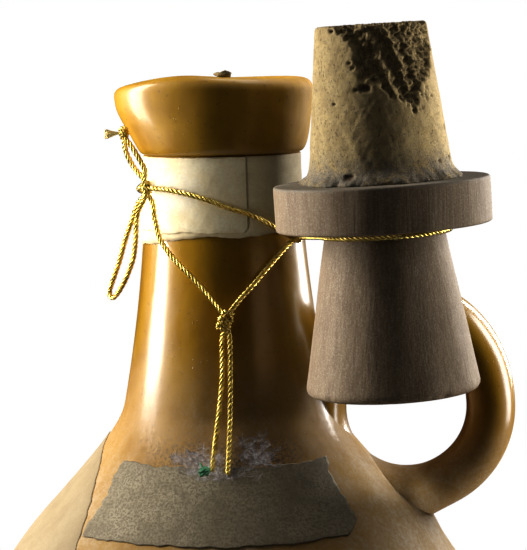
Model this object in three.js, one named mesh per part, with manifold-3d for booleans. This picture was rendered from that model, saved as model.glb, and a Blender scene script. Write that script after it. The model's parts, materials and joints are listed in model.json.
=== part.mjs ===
// Stoneware liquor jug with a ring handle, pasted paper labels and a cork stopper that hangs
// beside the neck in a sling of gold cord. Millimetres, +Z up. The origin is the middle of the
// foot, +X points to the handle, -X to the pouring spout and -Y to the front label.

import * as THREE from 'three';
import { mergeVertices } from 'three/addons/utils/BufferGeometryUtils.js';
import Module from 'manifold-3d';

const wasm = await Module();
wasm.setup();

// Jug: heights are stacked from the foot upwards, radii are outside radii
const FOOT_RADIUS = 41;
const FOOT_RING_WIDTH = 8;
const FOOT_RECESS = 2.5;
const FOOT_EDGE = 1.2;
const BELLY_RADIUS = 60;
const BELLY_HEIGHT = 56;
const SHOULDER_RADIUS = 36.5;
const SHOULDER_RISE = 58.4;
const SHOULDER_ANGLE = 43;
const NECK_FOOT_RADIUS = 20.6;
const NECK_FOOT_RISE = 21.6;
const NECK_FLARE_ANGLE = 11;
const NECK_TOP_RADIUS = 15.45;
const NECK_LENGTH = 49;
const LIP_RADIUS = 18.4;
const LIP_HEIGHT = 15;
const LIP_ROLL = 1.8;
const MOUTH_ROLL = 5;
const WALL = 3.6;
const FLOOR_THICKNESS = 4.5;

// Pouring spout, pulled out of the lip on the side away from the handle
const SPOUT_REACH = 2.75;
const SPOUT_DROOP = 1.5;
const SPOUT_SPREAD = 75;

// Ring handle: a whole egg-shaped ring in the XZ plane, taller above its middle than below
const HANDLE_OFFSET = 35.9;
const HANDLE_DROP = 3.2;
const HANDLE_HALF_WIDTH = 17;
const HANDLE_RISE = 21;
const HANDLE_FALL = 16.9;
const HANDLE_THICKNESS = 9.8;
const HANDLE_BREADTH = 10.4;
const ROOT_FLARE = 0.38;
const ROOT_REACH = 5;

// Paper
const PAPER = 0.2;
const PASTE = 0.1;
const BAND_HEIGHT = 15.4;
const BAND_DROP = 0.2;
const NECK_LABEL_LEFT = 17;
const NECK_LABEL_RIGHT = 5;
const NECK_LABEL_HEIGHT = 13.6;
const NECK_LABEL_CORNER = 2;
const FRONT_LABEL_TOP_DROP = 9.6;
const FRONT_LABEL_HEIGHT = 12.6;
const FRONT_LABEL_TOP_WIDTH = 38.6;
const FRONT_LABEL_BOTTOM_WIDTH = 52;
const FRONT_LABEL_SHIFT = 1.5;
const SIDE_LABEL_TOP_DROP = 7;
const SIDE_LABEL_ARCH = 26;
const SIDE_LABEL_HEIGHT = 40;
const SIDE_LABEL_WIDTH = 68;

// Stopper: turned wood head with a tapered cork
const FLANGE_RADIUS = 20.1;
const FLANGE_THICKNESS = 8.85;
const FLANGE_EDGE = 0.8;
const KNOB_NECK_RADIUS = 11.05;
const KNOB_END_RADIUS = 16.65;
const KNOB_LENGTH = 30.45;
const KNOB_EDGE = 1.8;
const SPIGOT_RADIUS = 5;
const SPIGOT_LENGTH = 14;
const CORK_ROOT_RADIUS = 13.5;
const CORK_TIP_RADIUS = 10.2;
const CORK_LENGTH = 28.4;
const CORK_EDGE = 0.6;
const BREAK_RADIUS = 9;
const BREAK_DEPTH = 4.2;
const BREAK_DROP = 6;
const BREAK_TURN = -62;

// Cord
const CORD_DIAMETER = 1.05;
const CLEARANCE = 0.3;
const SIDE_KNOT_RADIUS = 1.3;
const SIDE_KNOT_LENGTH = 4;
const END_KNOT_RADIUS = 1.2;
const END_KNOT_LENGTH = 3;
const SLING_KNOT_RADIUS = 1.2;
const FRONT_KNOT_RADIUS = 1.7;
const FRONT_KNOT_LENGTH = 5;
const FRAY_LENGTH = 2.9;
const FRAY_RADIUS = 1.4;
const GREEN_TIP_LENGTH = 2.4;

// Places of the cord on the neck: turn round the axis in degrees, drop below the top of the neck
const SIDE_KNOT_TURN = 211.5;
const SIDE_KNOT_DROP = 6.2;
const FRONT_KNOT_TURN = 270.2;
const FRONT_KNOT_DROP = 31.3;
const TETHER_TURN = 321.6;
const TETHER_DROP = 16.3;
const SLING_RISE = 2.25;
const SLING_SLACK = 3.8;
const STOPPER_TURN = 315.7;
const STOPPER_LEAN = 2.45;

// Facets
const JUG_SEGMENTS = 48;
const STOPPER_SEGMENTS = 40;
const CORD_SIDES = 8;
const KNOT_SEGMENTS = 10;

const RAD = Math.PI / 180;
const CORD_RADIUS = CORD_DIAMETER / 2;
const neckFoot = BELLY_HEIGHT + SHOULDER_RISE + NECK_FOOT_RISE;
const neckTop = neckFoot + NECK_LENGTH;
const rimHeight = neckTop + LIP_HEIGHT;
const paperStack = 2 * (PAPER + PASTE);

const GLAZE = new THREE.MeshStandardMaterial({ color: 0x9a6224, roughness: 0.25 });
const LABEL_PAPER = new THREE.MeshStandardMaterial({ color: 0xd8cba6, roughness: 0.9 });
const STAINED_PAPER = new THREE.MeshStandardMaterial({ color: 0x6b5a40, roughness: 0.95 });
const WOOD = new THREE.MeshStandardMaterial({ color: 0x6e5a4b, roughness: 0.85 });
const CORK = new THREE.MeshStandardMaterial({ color: 0xa78a58, roughness: 0.95 });
const GOLD_CORD = new THREE.MeshStandardMaterial({ color: 0xc7a73c, roughness: 0.4, metalness: 0.8 });
const GREEN_THREAD = new THREE.MeshStandardMaterial({ color: 0x1f7a4a, roughness: 0.8 });

// Closed geometry with shared vertices and its faces turned outwards
function closed(geometry) {
  const bare = geometry.index ? geometry.toNonIndexed() : geometry.clone();
  bare.deleteAttribute('normal');
  bare.deleteAttribute('uv');
  const merged = mergeVertices(bare, 1e-4);
  const position = merged.attributes.position;
  const faces = [];
  let volume = 0;
  const corner = [new THREE.Vector3(), new THREE.Vector3(), new THREE.Vector3()];
  for (let i = 0; i < merged.index.count; i += 3) {
    const face = [0, 1, 2].map((k) => merged.index.getX(i + k));
    if (face[0] === face[1] || face[1] === face[2] || face[2] === face[0]) continue;
    face.forEach((vertex, k) => corner[k].fromBufferAttribute(position, vertex));
    volume += corner[0].dot(corner[1].clone().cross(corner[2]));
    faces.push(face);
  }
  if (volume < 0) faces.forEach((face) => face.reverse());
  merged.setIndex(faces.flat());
  merged.computeVertexNormals();
  return merged;
}

function toManifold(geometry) {
  const solid = closed(geometry);
  return new wasm.Manifold(new wasm.Mesh({
    numProp: 3,
    vertProperties: new Float32Array(solid.attributes.position.array),
    triVerts: new Uint32Array(solid.index.array),
  }));
}

function fromManifold(manifold) {
  const mesh = manifold.getMesh();
  const geometry = new THREE.BufferGeometry();
  geometry.setAttribute('position', new THREE.BufferAttribute(mesh.vertProperties, 3));
  geometry.setIndex(new THREE.BufferAttribute(mesh.triVerts, 1));
  return closed(geometry);
}

// Solid of revolution about +Z from [radius, height] points
function revolve(points, segments) {
  const profile = points.map(([radius, height]) => new THREE.Vector2(radius, height));
  return new THREE.LatheGeometry(profile, segments).rotateX(Math.PI / 2);
}

function piece(name, geometry, material) {
  const mesh = new THREE.Mesh(closed(geometry), material);
  mesh.name = name;
  return mesh;
}

const smoothstep = THREE.MathUtils.smoothstep;

// Outside of the jug as [radius, height] points, from the foot to the roll of the lip
function jugOutline() {
  const shoulder = new THREE.Vector2(SHOULDER_RADIUS, BELLY_HEIGHT + SHOULDER_RISE);
  const slope = new THREE.Vector2(Math.sin(SHOULDER_ANGLE * RAD), -Math.cos(SHOULDER_ANGLE * RAD));
  const neckStart = new THREE.Vector2(NECK_FOOT_RADIUS, neckFoot);
  const flare = new THREE.Vector2(Math.sin(NECK_FLARE_ANGLE * RAD), -Math.cos(NECK_FLARE_ANGLE * RAD));
  const bellyReach = 0.37 * SHOULDER_RISE;
  const throatReach = 0.95 * NECK_FOOT_RISE;
  const throatEase = 0.17 * NECK_FOOT_RISE;
  const neckReach = 0.33 * NECK_LENGTH;
  const lipStart = new THREE.Vector2(NECK_TOP_RADIUS, neckTop);
  const lipOverhang = LIP_RADIUS - NECK_TOP_RADIUS;
  const lipRise = LIP_HEIGHT - LIP_ROLL;

  const path = new THREE.Path();
  path.moveTo(FOOT_RADIUS - FOOT_EDGE, 0);
  path.quadraticCurveTo(FOOT_RADIUS, 0, FOOT_RADIUS + FOOT_EDGE / 2, FOOT_EDGE);
  path.bezierCurveTo(
    FOOT_RADIUS + 0.5 * (BELLY_RADIUS - FOOT_RADIUS), 0.3 * BELLY_HEIGHT,
    BELLY_RADIUS, 0.64 * BELLY_HEIGHT,
    BELLY_RADIUS, BELLY_HEIGHT);
  const underShoulder = shoulder.clone().addScaledVector(slope, bellyReach);
  path.bezierCurveTo(
    BELLY_RADIUS, BELLY_HEIGHT + bellyReach, underShoulder.x, underShoulder.y, shoulder.x, shoulder.y);
  const overShoulder = shoulder.clone().addScaledVector(slope, -throatReach);
  const throat = neckStart.clone().addScaledVector(flare, throatEase);
  path.bezierCurveTo(overShoulder.x, overShoulder.y, throat.x, throat.y, neckStart.x, neckStart.y);
  const overThroat = neckStart.clone().addScaledVector(flare, -neckReach);
  path.bezierCurveTo(
    overThroat.x, overThroat.y, lipStart.x, lipStart.y - neckReach, lipStart.x, lipStart.y);
  path.bezierCurveTo(
    lipStart.x + 0.6 * lipOverhang, neckTop + 0.008 * lipRise,
    lipStart.x + 0.77 * lipOverhang, neckTop + 0.38 * lipRise,
    LIP_RADIUS, neckTop + lipRise);
  const divisions = [2, 6, 7, 7, 7, 5];
  const points = [];
  path.curves.forEach((curve, i) => points.push(...curve.getPoints(divisions[i]).slice(i ? 1 : 0)));
  return points;
}

// The outline moved sideways along its own normal, outwards when the distance is positive
function offsetOutline(outline, distance) {
  return outline.map((point, i) => {
    const before = outline[Math.max(i - 1, 0)];
    const after = outline[Math.min(i + 1, outline.length - 1)];
    const along = after.clone().sub(before).normalize();
    return new THREE.Vector2(point.x + along.y * distance, point.y - along.x * distance);
  });
}

const outline = jugOutline();

// Outside radius of the jug at a height, without the spout
function jugRadius(height) {
  const above = outline.findIndex((point) => point.y > height);
  if (above < 1) return outline[above < 0 ? outline.length - 1 : 0].x;
  const [low, high] = [outline[above - 1], outline[above]];
  return THREE.MathUtils.mapLinear(height, low.y, high.y, low.x, high.x);
}

// Point over the jug's skin at a turn in degrees and a height, lifted off it by a distance
function onJug(turn, height, lift) {
  const radius = jugRadius(height) + lift;
  return new THREE.Vector3(radius * Math.cos(turn * RAD), radius * Math.sin(turn * RAD), height);
}

// How far the spout pulls a point of the lip outwards (x) and down (y)
function spoutPull(turn, height) {
  const away = Math.abs(THREE.MathUtils.euclideanModulo(turn, 360) - 180);
  const share = away < SPOUT_SPREAD ? Math.cos((away / SPOUT_SPREAD) * Math.PI / 2) ** 2 : 0;
  const rise = THREE.MathUtils.clamp((height - neckTop) / LIP_HEIGHT, 0, 1);
  return new THREE.Vector2(
    SPOUT_REACH * share * smoothstep(rise, 0.02, 0.72), SPOUT_DROOP * share * rise ** 2);
}

function jugBody() {
  const inside = offsetOutline(outline, -WALL);
  const bore = NECK_TOP_RADIUS - WALL;
  const floor = FOOT_RECESS + FLOOR_THICKNESS;
  const inner = inside.filter((point) => point.y > floor + WALL && point.y < neckTop);
  const recess = FOOT_RADIUS - FOOT_RING_WIDTH;
  const roll = new THREE.Path();
  roll.moveTo(LIP_RADIUS, rimHeight - LIP_ROLL);
  const crown = (LIP_RADIUS + bore) / 2;
  roll.quadraticCurveTo(LIP_RADIUS, rimHeight, crown, rimHeight);
  roll.quadraticCurveTo(bore, rimHeight, bore, rimHeight - MOUTH_ROLL);
  const points = [
    [0, FOOT_RECESS],
    [recess - FOOT_RECESS, FOOT_RECESS],
    [recess, 0],
    ...outline.map((point) => [point.x, point.y]),
    ...roll.getPoints(4).slice(1).map((point) => [point.x, point.y]),
    [bore, neckTop],
    ...inner.reverse().map((point) => [point.x, point.y]),
    [inner.at(-1).x - WALL, floor],
    [0, floor],
  ];
  const geometry = closed(revolve(points, JUG_SEGMENTS));
  const position = geometry.attributes.position;
  for (let i = 0; i < position.count; i++) {
    const [x, y, z] = [position.getX(i), position.getY(i), position.getZ(i)];
    const radius = Math.hypot(x, y);
    if (z <= neckTop || radius === 0) continue;
    const pull = spoutPull(Math.atan2(y, x) / RAD, z);
    const stretch = (radius + pull.x) / radius;
    position.setXYZ(i, x * stretch, y * stretch, z - pull.y);
  }
  return geometry;
}

// Filled jug, grown by a gap: what is luted or pasted to the jug is cut back by it
function jugFilled(gap) {
  const grown = offsetOutline(outline, gap).filter((point) => point.y > 0);
  const points = [[0, 0], ...grown.map((point) => [point.x, point.y]), [0, grown.at(-1).y]];
  return toManifold(revolve(points, JUG_SEGMENTS));
}

// Rings of equal counts joined into a closed ring of clay
function ringOf(rings) {
  const sides = rings[0].length;
  const faces = [];
  rings.forEach((_, ring) => {
    const here = ring * sides;
    const beyond = ((ring + 1) % rings.length) * sides;
    for (let side = 0; side < sides; side++) {
      const next = (side + 1) % sides;
      faces.push(here + side, here + next, beyond + side);
      faces.push(here + next, beyond + next, beyond + side);
    }
  });
  const geometry = new THREE.BufferGeometry().setFromPoints(rings.flat());
  geometry.setIndex(faces);
  return geometry;
}

function loopHandle() {
  const steps = 48;
  const sides = 14;
  const middle = neckFoot - HANDLE_DROP;
  const rings = [];
  for (let step = 0; step < steps; step++) {
    const angle = (0.5 - step / steps) * 2 * Math.PI;
    const tall = angle > 0 ? HANDLE_RISE : HANDLE_FALL;
    const x = HANDLE_OFFSET + HANDLE_HALF_WIDTH * Math.cos(angle);
    const z = middle + tall * Math.sin(angle);
    const normal = new THREE.Vector2(tall * Math.cos(angle), HANDLE_HALF_WIDTH * Math.sin(angle));
    normal.normalize();
    const clear = Math.max(0, x - jugRadius(z));
    const swell = 1 + ROOT_FLARE * Math.exp(-((clear / ROOT_REACH) ** 2));
    const ring = [];
    for (let side = 0; side < sides; side++) {
      const round = (side / sides) * 2 * Math.PI;
      const outside = Math.cos(round) > 0 ? swell : 1;
      const out = (HANDLE_THICKNESS / 2) * outside * Math.cos(round);
      const across = (HANDLE_BREADTH / 2) * swell * Math.sin(round);
      ring.push(new THREE.Vector3(x + normal.x * out, across, z + normal.y * out));
    }
    rings.push(ring);
  }
  return fromManifold(toManifold(ringOf(rings)).subtract(jugFilled(CLEARANCE)));
}

// Sleeve of paper that follows the jug between two heights, a distance off its skin
function paperSleeve(low, high, lift) {
  const cut = [];
  const between = outline.filter((point) => point.y > low && point.y < high);
  cut.push(new THREE.Vector2(jugRadius(low), low), ...between, new THREE.Vector2(jugRadius(high), high));
  const back = offsetOutline(cut, lift);
  const face = offsetOutline(cut, lift + PAPER).reverse();
  const points = [...back, ...face, back[0]].map((point) => [point.x, point.y]);
  return revolve(points, JUG_SEGMENTS);
}

// A label: the part of a paper sleeve inside an outline that is seen square-on from the front
// of the jug, or from its left when it faces the spout
function labelCut(sleeve, shape, facesLeft) {
  const depth = 2 * BELLY_RADIUS;
  const punch = new THREE.ExtrudeGeometry(shape, { depth, bevelEnabled: false, curveSegments: 8 });
  punch.rotateX(Math.PI / 2);
  if (facesLeft) punch.rotateZ(-Math.PI / 2);
  return fromManifold(toManifold(sleeve).intersect(toManifold(punch)));
}

function neckLabelShape(top) {
  const [left, right, corner] = [-NECK_LABEL_LEFT, NECK_LABEL_RIGHT, NECK_LABEL_CORNER];
  const low = top - NECK_LABEL_HEIGHT;
  const shape = new THREE.Shape();
  shape.moveTo(left, low);
  shape.lineTo(right - corner, low);
  shape.quadraticCurveTo(right, low, right, low + corner);
  shape.lineTo(right, top - corner);
  shape.quadraticCurveTo(right, top, right - corner, top);
  shape.lineTo(left, top);
  return shape;
}

function frontLabelShape(top, low) {
  const shape = new THREE.Shape();
  const upper = FRONT_LABEL_TOP_WIDTH / 2;
  const lower = FRONT_LABEL_BOTTOM_WIDTH / 2;
  shape.moveTo(-lower - FRONT_LABEL_SHIFT, low);
  shape.lineTo(lower - FRONT_LABEL_SHIFT, low);
  shape.lineTo(upper - FRONT_LABEL_SHIFT / 2, top);
  shape.lineTo(-upper - FRONT_LABEL_SHIFT / 2, top);
  return shape;
}

function sideLabelShape(top, low) {
  const half = SIDE_LABEL_WIDTH / 2;
  const spring = top - SIDE_LABEL_ARCH;
  const haunch = top - 0.115 * SIDE_LABEL_ARCH;
  const shape = new THREE.Shape();
  shape.moveTo(-half, low);
  shape.lineTo(half, low);
  shape.lineTo(half, spring);
  shape.quadraticCurveTo(0.44 * half, haunch, 0, top);
  shape.quadraticCurveTo(-0.44 * half, haunch, -half, spring);
  return shape;
}

// Stopper head about its own axis, with the underside of the flange at height 0 and the cork up
function stopperHead() {
  const edge = FLANGE_EDGE;
  const profile = new THREE.Path();
  profile.moveTo(0, -KNOB_LENGTH);
  profile.lineTo(KNOB_END_RADIUS - KNOB_EDGE, -KNOB_LENGTH);
  profile.quadraticCurveTo(
    KNOB_END_RADIUS, -KNOB_LENGTH, knobRadius(KNOB_LENGTH - KNOB_EDGE), KNOB_EDGE - KNOB_LENGTH);
  profile.lineTo(KNOB_NECK_RADIUS, 0);
  profile.lineTo(FLANGE_RADIUS - edge, 0);
  profile.quadraticCurveTo(FLANGE_RADIUS, 0, FLANGE_RADIUS, edge);
  profile.lineTo(FLANGE_RADIUS, FLANGE_THICKNESS - edge);
  profile.quadraticCurveTo(FLANGE_RADIUS, FLANGE_THICKNESS, FLANGE_RADIUS - edge, FLANGE_THICKNESS);
  profile.lineTo(SPIGOT_RADIUS, FLANGE_THICKNESS);
  profile.lineTo(SPIGOT_RADIUS, FLANGE_THICKNESS + SPIGOT_LENGTH);
  profile.lineTo(0, FLANGE_THICKNESS + SPIGOT_LENGTH);
  return revolve(profile.getPoints(3).map((point) => [point.x, point.y]), STOPPER_SEGMENTS);
}

// Radius of the knob at a depth below the flange
function knobRadius(depth) {
  return THREE.MathUtils.mapLinear(depth, 0, KNOB_LENGTH, KNOB_NECK_RADIUS, KNOB_END_RADIUS);
}

// Cork on the flange, with a blind bore for the spigot and a broken-out corner at its tip
function corkPlug() {
  const seat = FLANGE_THICKNESS + CLEARANCE;
  const tip = seat + CORK_LENGTH;
  const bore = SPIGOT_RADIUS + CLEARANCE;
  const boreEnd = FLANGE_THICKNESS + SPIGOT_LENGTH + CLEARANCE;
  const points = [
    [0, boreEnd],
    [bore, boreEnd],
    [bore, seat],
    [CORK_ROOT_RADIUS, seat],
    [CORK_TIP_RADIUS + CORK_EDGE / 4, tip - CORK_EDGE],
    [CORK_TIP_RADIUS - CORK_EDGE, tip],
    [0, tip],
  ];
  const lump = new THREE.IcosahedronGeometry(BREAK_RADIUS, 3);
  const spot = lump.attributes.position;
  for (let i = 0; i < spot.count; i++) {
    const [x, y, z] = [spot.getX(i), spot.getY(i), spot.getZ(i)];
    const rough = 1 + 0.07 * Math.sin(1.3 * x + 2) * Math.cos(1.1 * y) + 0.06 * Math.sin(1.6 * z + 0.7 * x);
    spot.setXYZ(i, x * rough, y * rough, z * rough);
  }
  const out = CORK_TIP_RADIUS + BREAK_RADIUS - BREAK_DEPTH;
  lump.translate(out * Math.cos(BREAK_TURN * RAD), out * Math.sin(BREAK_TURN * RAD), tip - BREAK_DROP);
  return fromManifold(toManifold(revolve(points, STOPPER_SEGMENTS)).subtract(toManifold(lump)));
}

// Cord along a list of points, with a step about every three diameters
function cord(points) {
  const curve = new THREE.CatmullRomCurve3(points, false, 'centripetal');
  const section = new THREE.Shape(Array.from({ length: CORD_SIDES }, (_, side) => {
    const round = (side / CORD_SIDES) * 2 * Math.PI;
    return new THREE.Vector2(CORD_RADIUS * Math.cos(round), CORD_RADIUS * Math.sin(round));
  }));
  const steps = Math.max(3, Math.round(curve.getLength() / (3 * CORD_DIAMETER)));
  return new THREE.ExtrudeGeometry(section, { steps, bevelEnabled: false, extrudePath: curve });
}

// Knot as a barrel about an axis, with its half length and its radius
class Knot {
  constructor(middle, radius, halfLength = radius, axis = new THREE.Vector3(0, 0, 1)) {
    Object.assign(this, { middle, radius, halfLength, axis });
  }

  geometry() {
    const points = [];
    for (let i = 0; i <= KNOT_SEGMENTS; i++) {
      const angle = (i / KNOT_SEGMENTS - 0.5) * Math.PI;
      points.push([this.radius * Math.cos(angle), this.halfLength * Math.sin(angle)]);
    }
    points[0][0] = 0;
    points.at(-1)[0] = 0;
    const turn = new THREE.Quaternion().setFromUnitVectors(new THREE.Vector3(0, 0, 1), this.axis);
    return revolve(points, KNOT_SEGMENTS).applyQuaternion(turn).translate(...this.middle);
  }

  // Where a strand that leaves the knot towards a point starts, clear of its skin
  edge(towards) {
    const way = towards.clone().sub(this.middle).normalize();
    const along = way.dot(this.axis);
    const across = Math.sqrt(Math.max(0, 1 - along * along));
    const skin = 1 / Math.hypot(across / this.radius, along / this.halfLength);
    return this.middle.clone().addScaledVector(way, skin + CLEARANCE);
  }
}

// Height of a point of the cord from its drop below the top of the neck
const below = (drop) => neckTop - drop;
const cordLift = paperStack + CLEARANCE + CORD_RADIUS;
const knotLift = (radius) => paperStack + CLEARANCE + radius;
const onNeck = ([turn, drop]) => onJug(turn, below(drop), cordLift);

const sideKnot = new Knot(
  onJug(SIDE_KNOT_TURN, below(SIDE_KNOT_DROP), knotLift(SIDE_KNOT_RADIUS)),
  SIDE_KNOT_RADIUS, SIDE_KNOT_LENGTH / 2);
const frontKnot = new Knot(
  onJug(FRONT_KNOT_TURN, below(FRONT_KNOT_DROP), knotLift(FRONT_KNOT_RADIUS)),
  FRONT_KNOT_RADIUS, FRONT_KNOT_LENGTH / 2);
const slingKnot = new Knot(
  onJug(TETHER_TURN, below(TETHER_DROP), knotLift(SLING_KNOT_RADIUS)), SLING_KNOT_RADIUS);

// Strand from one knot to another over the points between them
function strand(points, from, to) {
  const ends = [from.edge(points[0]), to ? to.edge(points.at(-1)) : null];
  return cord([ends[0], ...points, ...(ends[1] ? [ends[1]] : [])]);
}

const collarFrontRoute = [
  [224, 6.3], [233, 6.5], [248.1, 7.3], [262, 8.5], [274.1, 9.9], [288.8, 11.4], [303.4, 13.6],
  [313, 15.4],
].map(onNeck);

const collarBackRoute = [
  [330, 16.5], [350, 16.6], [15, 16.4], [40, 15.8], [65, 14.6], [90, 13], [115, 11.2], [140, 9.4],
  [165, 7.8], [186, 6.7],
].map(onNeck);

const necklaceLeftRoute = [
  [216, 9], [219, 12.2], [225.5, 16.2], [235.8, 19.3], [248.1, 22.5], [259, 25.9],
].map(onNeck);

const necklaceRightRoute = [[280.5, 27.2], [287.1, 25.2], [300.4, 21.3], [312, 18.6]].map(onNeck);

const tailLeftRoute = [
  [268.3, 34.8], [268.2, 41], [267, 46.6], [265.3, 51.8], [264.4, 56.1], [264.1, 58.9],
].map(onNeck);

const tailRightRoute = [
  [273.2, 34.8], [272.7, 41], [272.2, 46.6], [271.5, 51.8], [270.8, 56.1], [270.3, 59.4],
].map(onNeck);

// Spare cord at the left of the neck: x and y from the axis, drop below the top of the neck
const spare = ([x, y, drop]) => new THREE.Vector3(x, y, below(drop));

const bightRoute = [
  [-16.6, -6.6, 9.4], [-18, -5.7, 13], [-19.4, -5, 16.7], [-20.7, -4.8, 20.9], [-22, -4.8, 24.4],
  [-22.8, -5.2, 26.9], [-22.2, -6.4, 27.9], [-20.9, -7.7, 26.7], [-19.4, -8.1, 24.2],
  [-17.8, -8.4, 20.3], [-17.1, -8.8, 16.4], [-17, -8.9, 11.2],
].map(spare);

const endKnot = new Knot(spare([-18.9, -7.6, -4.5]), END_KNOT_RADIUS, END_KNOT_LENGTH / 2);
const endStrandFrontRoute = [[-14.9, -9.6, 2.6], [-16.3, -9.3, -0.1], [-17.5, -9.2, -2.1]].map(spare);
const endStrandBackRoute = [[-16, -7.9, 3.6], [-17.4, -6.4, 1.9], [-18.7, -6, -0.9]].map(spare);

// Frayed tip: a cone that opens away from the end knot
function frayedEnd() {
  const outwards = new THREE.Vector3(-1, 0, 0);
  const root = endKnot.edge(endKnot.middle.clone().add(outwards));
  const points = [[0, 0], [CORD_RADIUS, 0], [FRAY_RADIUS, FRAY_LENGTH], [0, FRAY_LENGTH]];
  const turn = new THREE.Quaternion().setFromUnitVectors(new THREE.Vector3(0, 0, 1), outwards);
  return revolve(points, KNOT_SEGMENTS).applyQuaternion(turn).translate(...root);
}

// Green scrap that lies on the shoulder beside the end of the left tail
function greenTip() {
  const tailEnd = tailLeftRoute.at(-1);
  const gap = CORD_RADIUS + CLEARANCE + GREEN_TIP_LENGTH / 2;
  const turnPerMm = 1 / (Math.hypot(tailEnd.x, tailEnd.y) * RAD);
  const turn = Math.atan2(tailEnd.y, tailEnd.x) / RAD - gap * turnPerMm;
  const middle = onJug(turn, tailEnd.z, cordLift);
  const across = new THREE.Vector3(-middle.y, middle.x, 0).normalize();
  return new Knot(middle, CORD_RADIUS, GREEN_TIP_LENGTH / 2, across).geometry();
}

// Stopper group: it hangs beside the neck, clear of the collar by the slack of its sling
const collarOut = jugRadius(below(TETHER_DROP)) + cordLift + CORD_RADIUS;
const hangOut = collarOut + CLEARANCE + SLING_SLACK + FLANGE_RADIUS;
const slingHeight = below(TETHER_DROP) + SLING_RISE;
const stopper = new THREE.Group();
stopper.position.set(
  hangOut * Math.cos(STOPPER_TURN * RAD), hangOut * Math.sin(STOPPER_TURN * RAD), slingHeight);
stopper.rotation.y = -STOPPER_LEAN * RAD;
stopper.updateMatrixWorld();

// Sling: out from its knot, round the knob under the flange and back, in the stopper's own plane
function slingLoop() {
  const flangeLift = CORD_RADIUS + CLEARANCE;
  const radius = knobRadius(flangeLift + CORD_RADIUS) + CLEARANCE + CORD_RADIUS;
  const knot = stopper.worldToLocal(slingKnot.middle.clone());
  const towards = Math.atan2(knot.y, knot.x);
  const opening = Math.acos(radius / Math.hypot(knot.x, knot.y));
  const bends = 16;
  const points = [];
  for (let i = 0; i <= bends; i++) {
    const angle = towards + THREE.MathUtils.lerp(opening, 2 * Math.PI - opening, i / bends);
    const point = new THREE.Vector3(radius * Math.cos(angle), radius * Math.sin(angle), 0);
    points.push(stopper.localToWorld(point));
  }
  return strand(points, slingKnot, slingKnot);
}

const flangeUnderside = CORD_RADIUS + CLEARANCE;
const head = piece('stopper_head', stopperHead().translate(0, 0, flangeUnderside), WOOD);
const plug = piece('cork_plug', corkPlug().translate(0, 0, flangeUnderside), CORK);
stopper.add(head, plug);

const bandTop = neckTop - BAND_DROP;
const labelLift = PASTE + PAPER + PASTE;
const neckLabelSleeve = paperSleeve(bandTop - NECK_LABEL_HEIGHT, bandTop, labelLift);
const frontTop = neckFoot - FRONT_LABEL_TOP_DROP;
const frontLow = frontTop - FRONT_LABEL_HEIGHT;
const sideTop = neckFoot - SIDE_LABEL_TOP_DROP;
const sideLow = sideTop - SIDE_LABEL_HEIGHT;
const frontSleeve = paperSleeve(frontLow, frontTop, PASTE);
const sideSleeve = paperSleeve(sideLow, sideTop, labelLift);

const bottle = new THREE.Group();
bottle.add(
  piece('jug_body', jugBody(), GLAZE),
  piece('loop_handle', loopHandle(), GLAZE),
  piece('neck_band', paperSleeve(bandTop - BAND_HEIGHT, bandTop, PASTE), LABEL_PAPER),
  piece('neck_label', labelCut(neckLabelSleeve, neckLabelShape(bandTop), false), LABEL_PAPER),
  piece('front_label', labelCut(frontSleeve, frontLabelShape(frontTop, frontLow), false), STAINED_PAPER),
  piece('side_label', labelCut(sideSleeve, sideLabelShape(sideTop, sideLow), true), LABEL_PAPER),
  stopper,
  piece('collar_front', strand(collarFrontRoute, sideKnot, slingKnot), GOLD_CORD),
  piece('collar_back', strand(collarBackRoute, slingKnot, sideKnot), GOLD_CORD),
  piece('side_knot', sideKnot.geometry(), GOLD_CORD),
  piece('side_bight', strand(bightRoute, sideKnot, sideKnot), GOLD_CORD),
  piece('end_strand_front', strand(endStrandFrontRoute, sideKnot, endKnot), GOLD_CORD),
  piece('end_strand_back', strand(endStrandBackRoute, sideKnot, endKnot), GOLD_CORD),
  piece('end_knot', endKnot.geometry(), GOLD_CORD),
  piece('frayed_end', frayedEnd(), GOLD_CORD),
  piece('necklace_left', strand(necklaceLeftRoute, sideKnot, frontKnot), GOLD_CORD),
  piece('necklace_right', strand(necklaceRightRoute, frontKnot, slingKnot), GOLD_CORD),
  piece('front_knot', frontKnot.geometry(), GOLD_CORD),
  piece('tail_left', strand(tailLeftRoute, frontKnot), GOLD_CORD),
  piece('tail_right', strand(tailRightRoute, frontKnot), GOLD_CORD),
  piece('green_tip', greenTip(), GREEN_THREAD),
  piece('sling_loop', slingLoop(), GOLD_CORD),
  piece('sling_knot', slingKnot.geometry(), GOLD_CORD),
);

export default bottle;
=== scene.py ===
"""Stoneware liquor jug with a ring handle, paper labels and a stopper slung in gold cord.

Sizes in the classes are millimetres in the bottle's frame: the origin is the middle of the foot,
+Z is up, +X points to the handle and -Y to the front label. Meshes are written in metres.
"""

from __future__ import annotations

import json
import logging
import math
from dataclasses import dataclass, field
from enum import Enum
from typing import Any, Iterable, Sequence

import bpy
import numpy as np
from mathutils import Matrix, Vector

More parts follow.
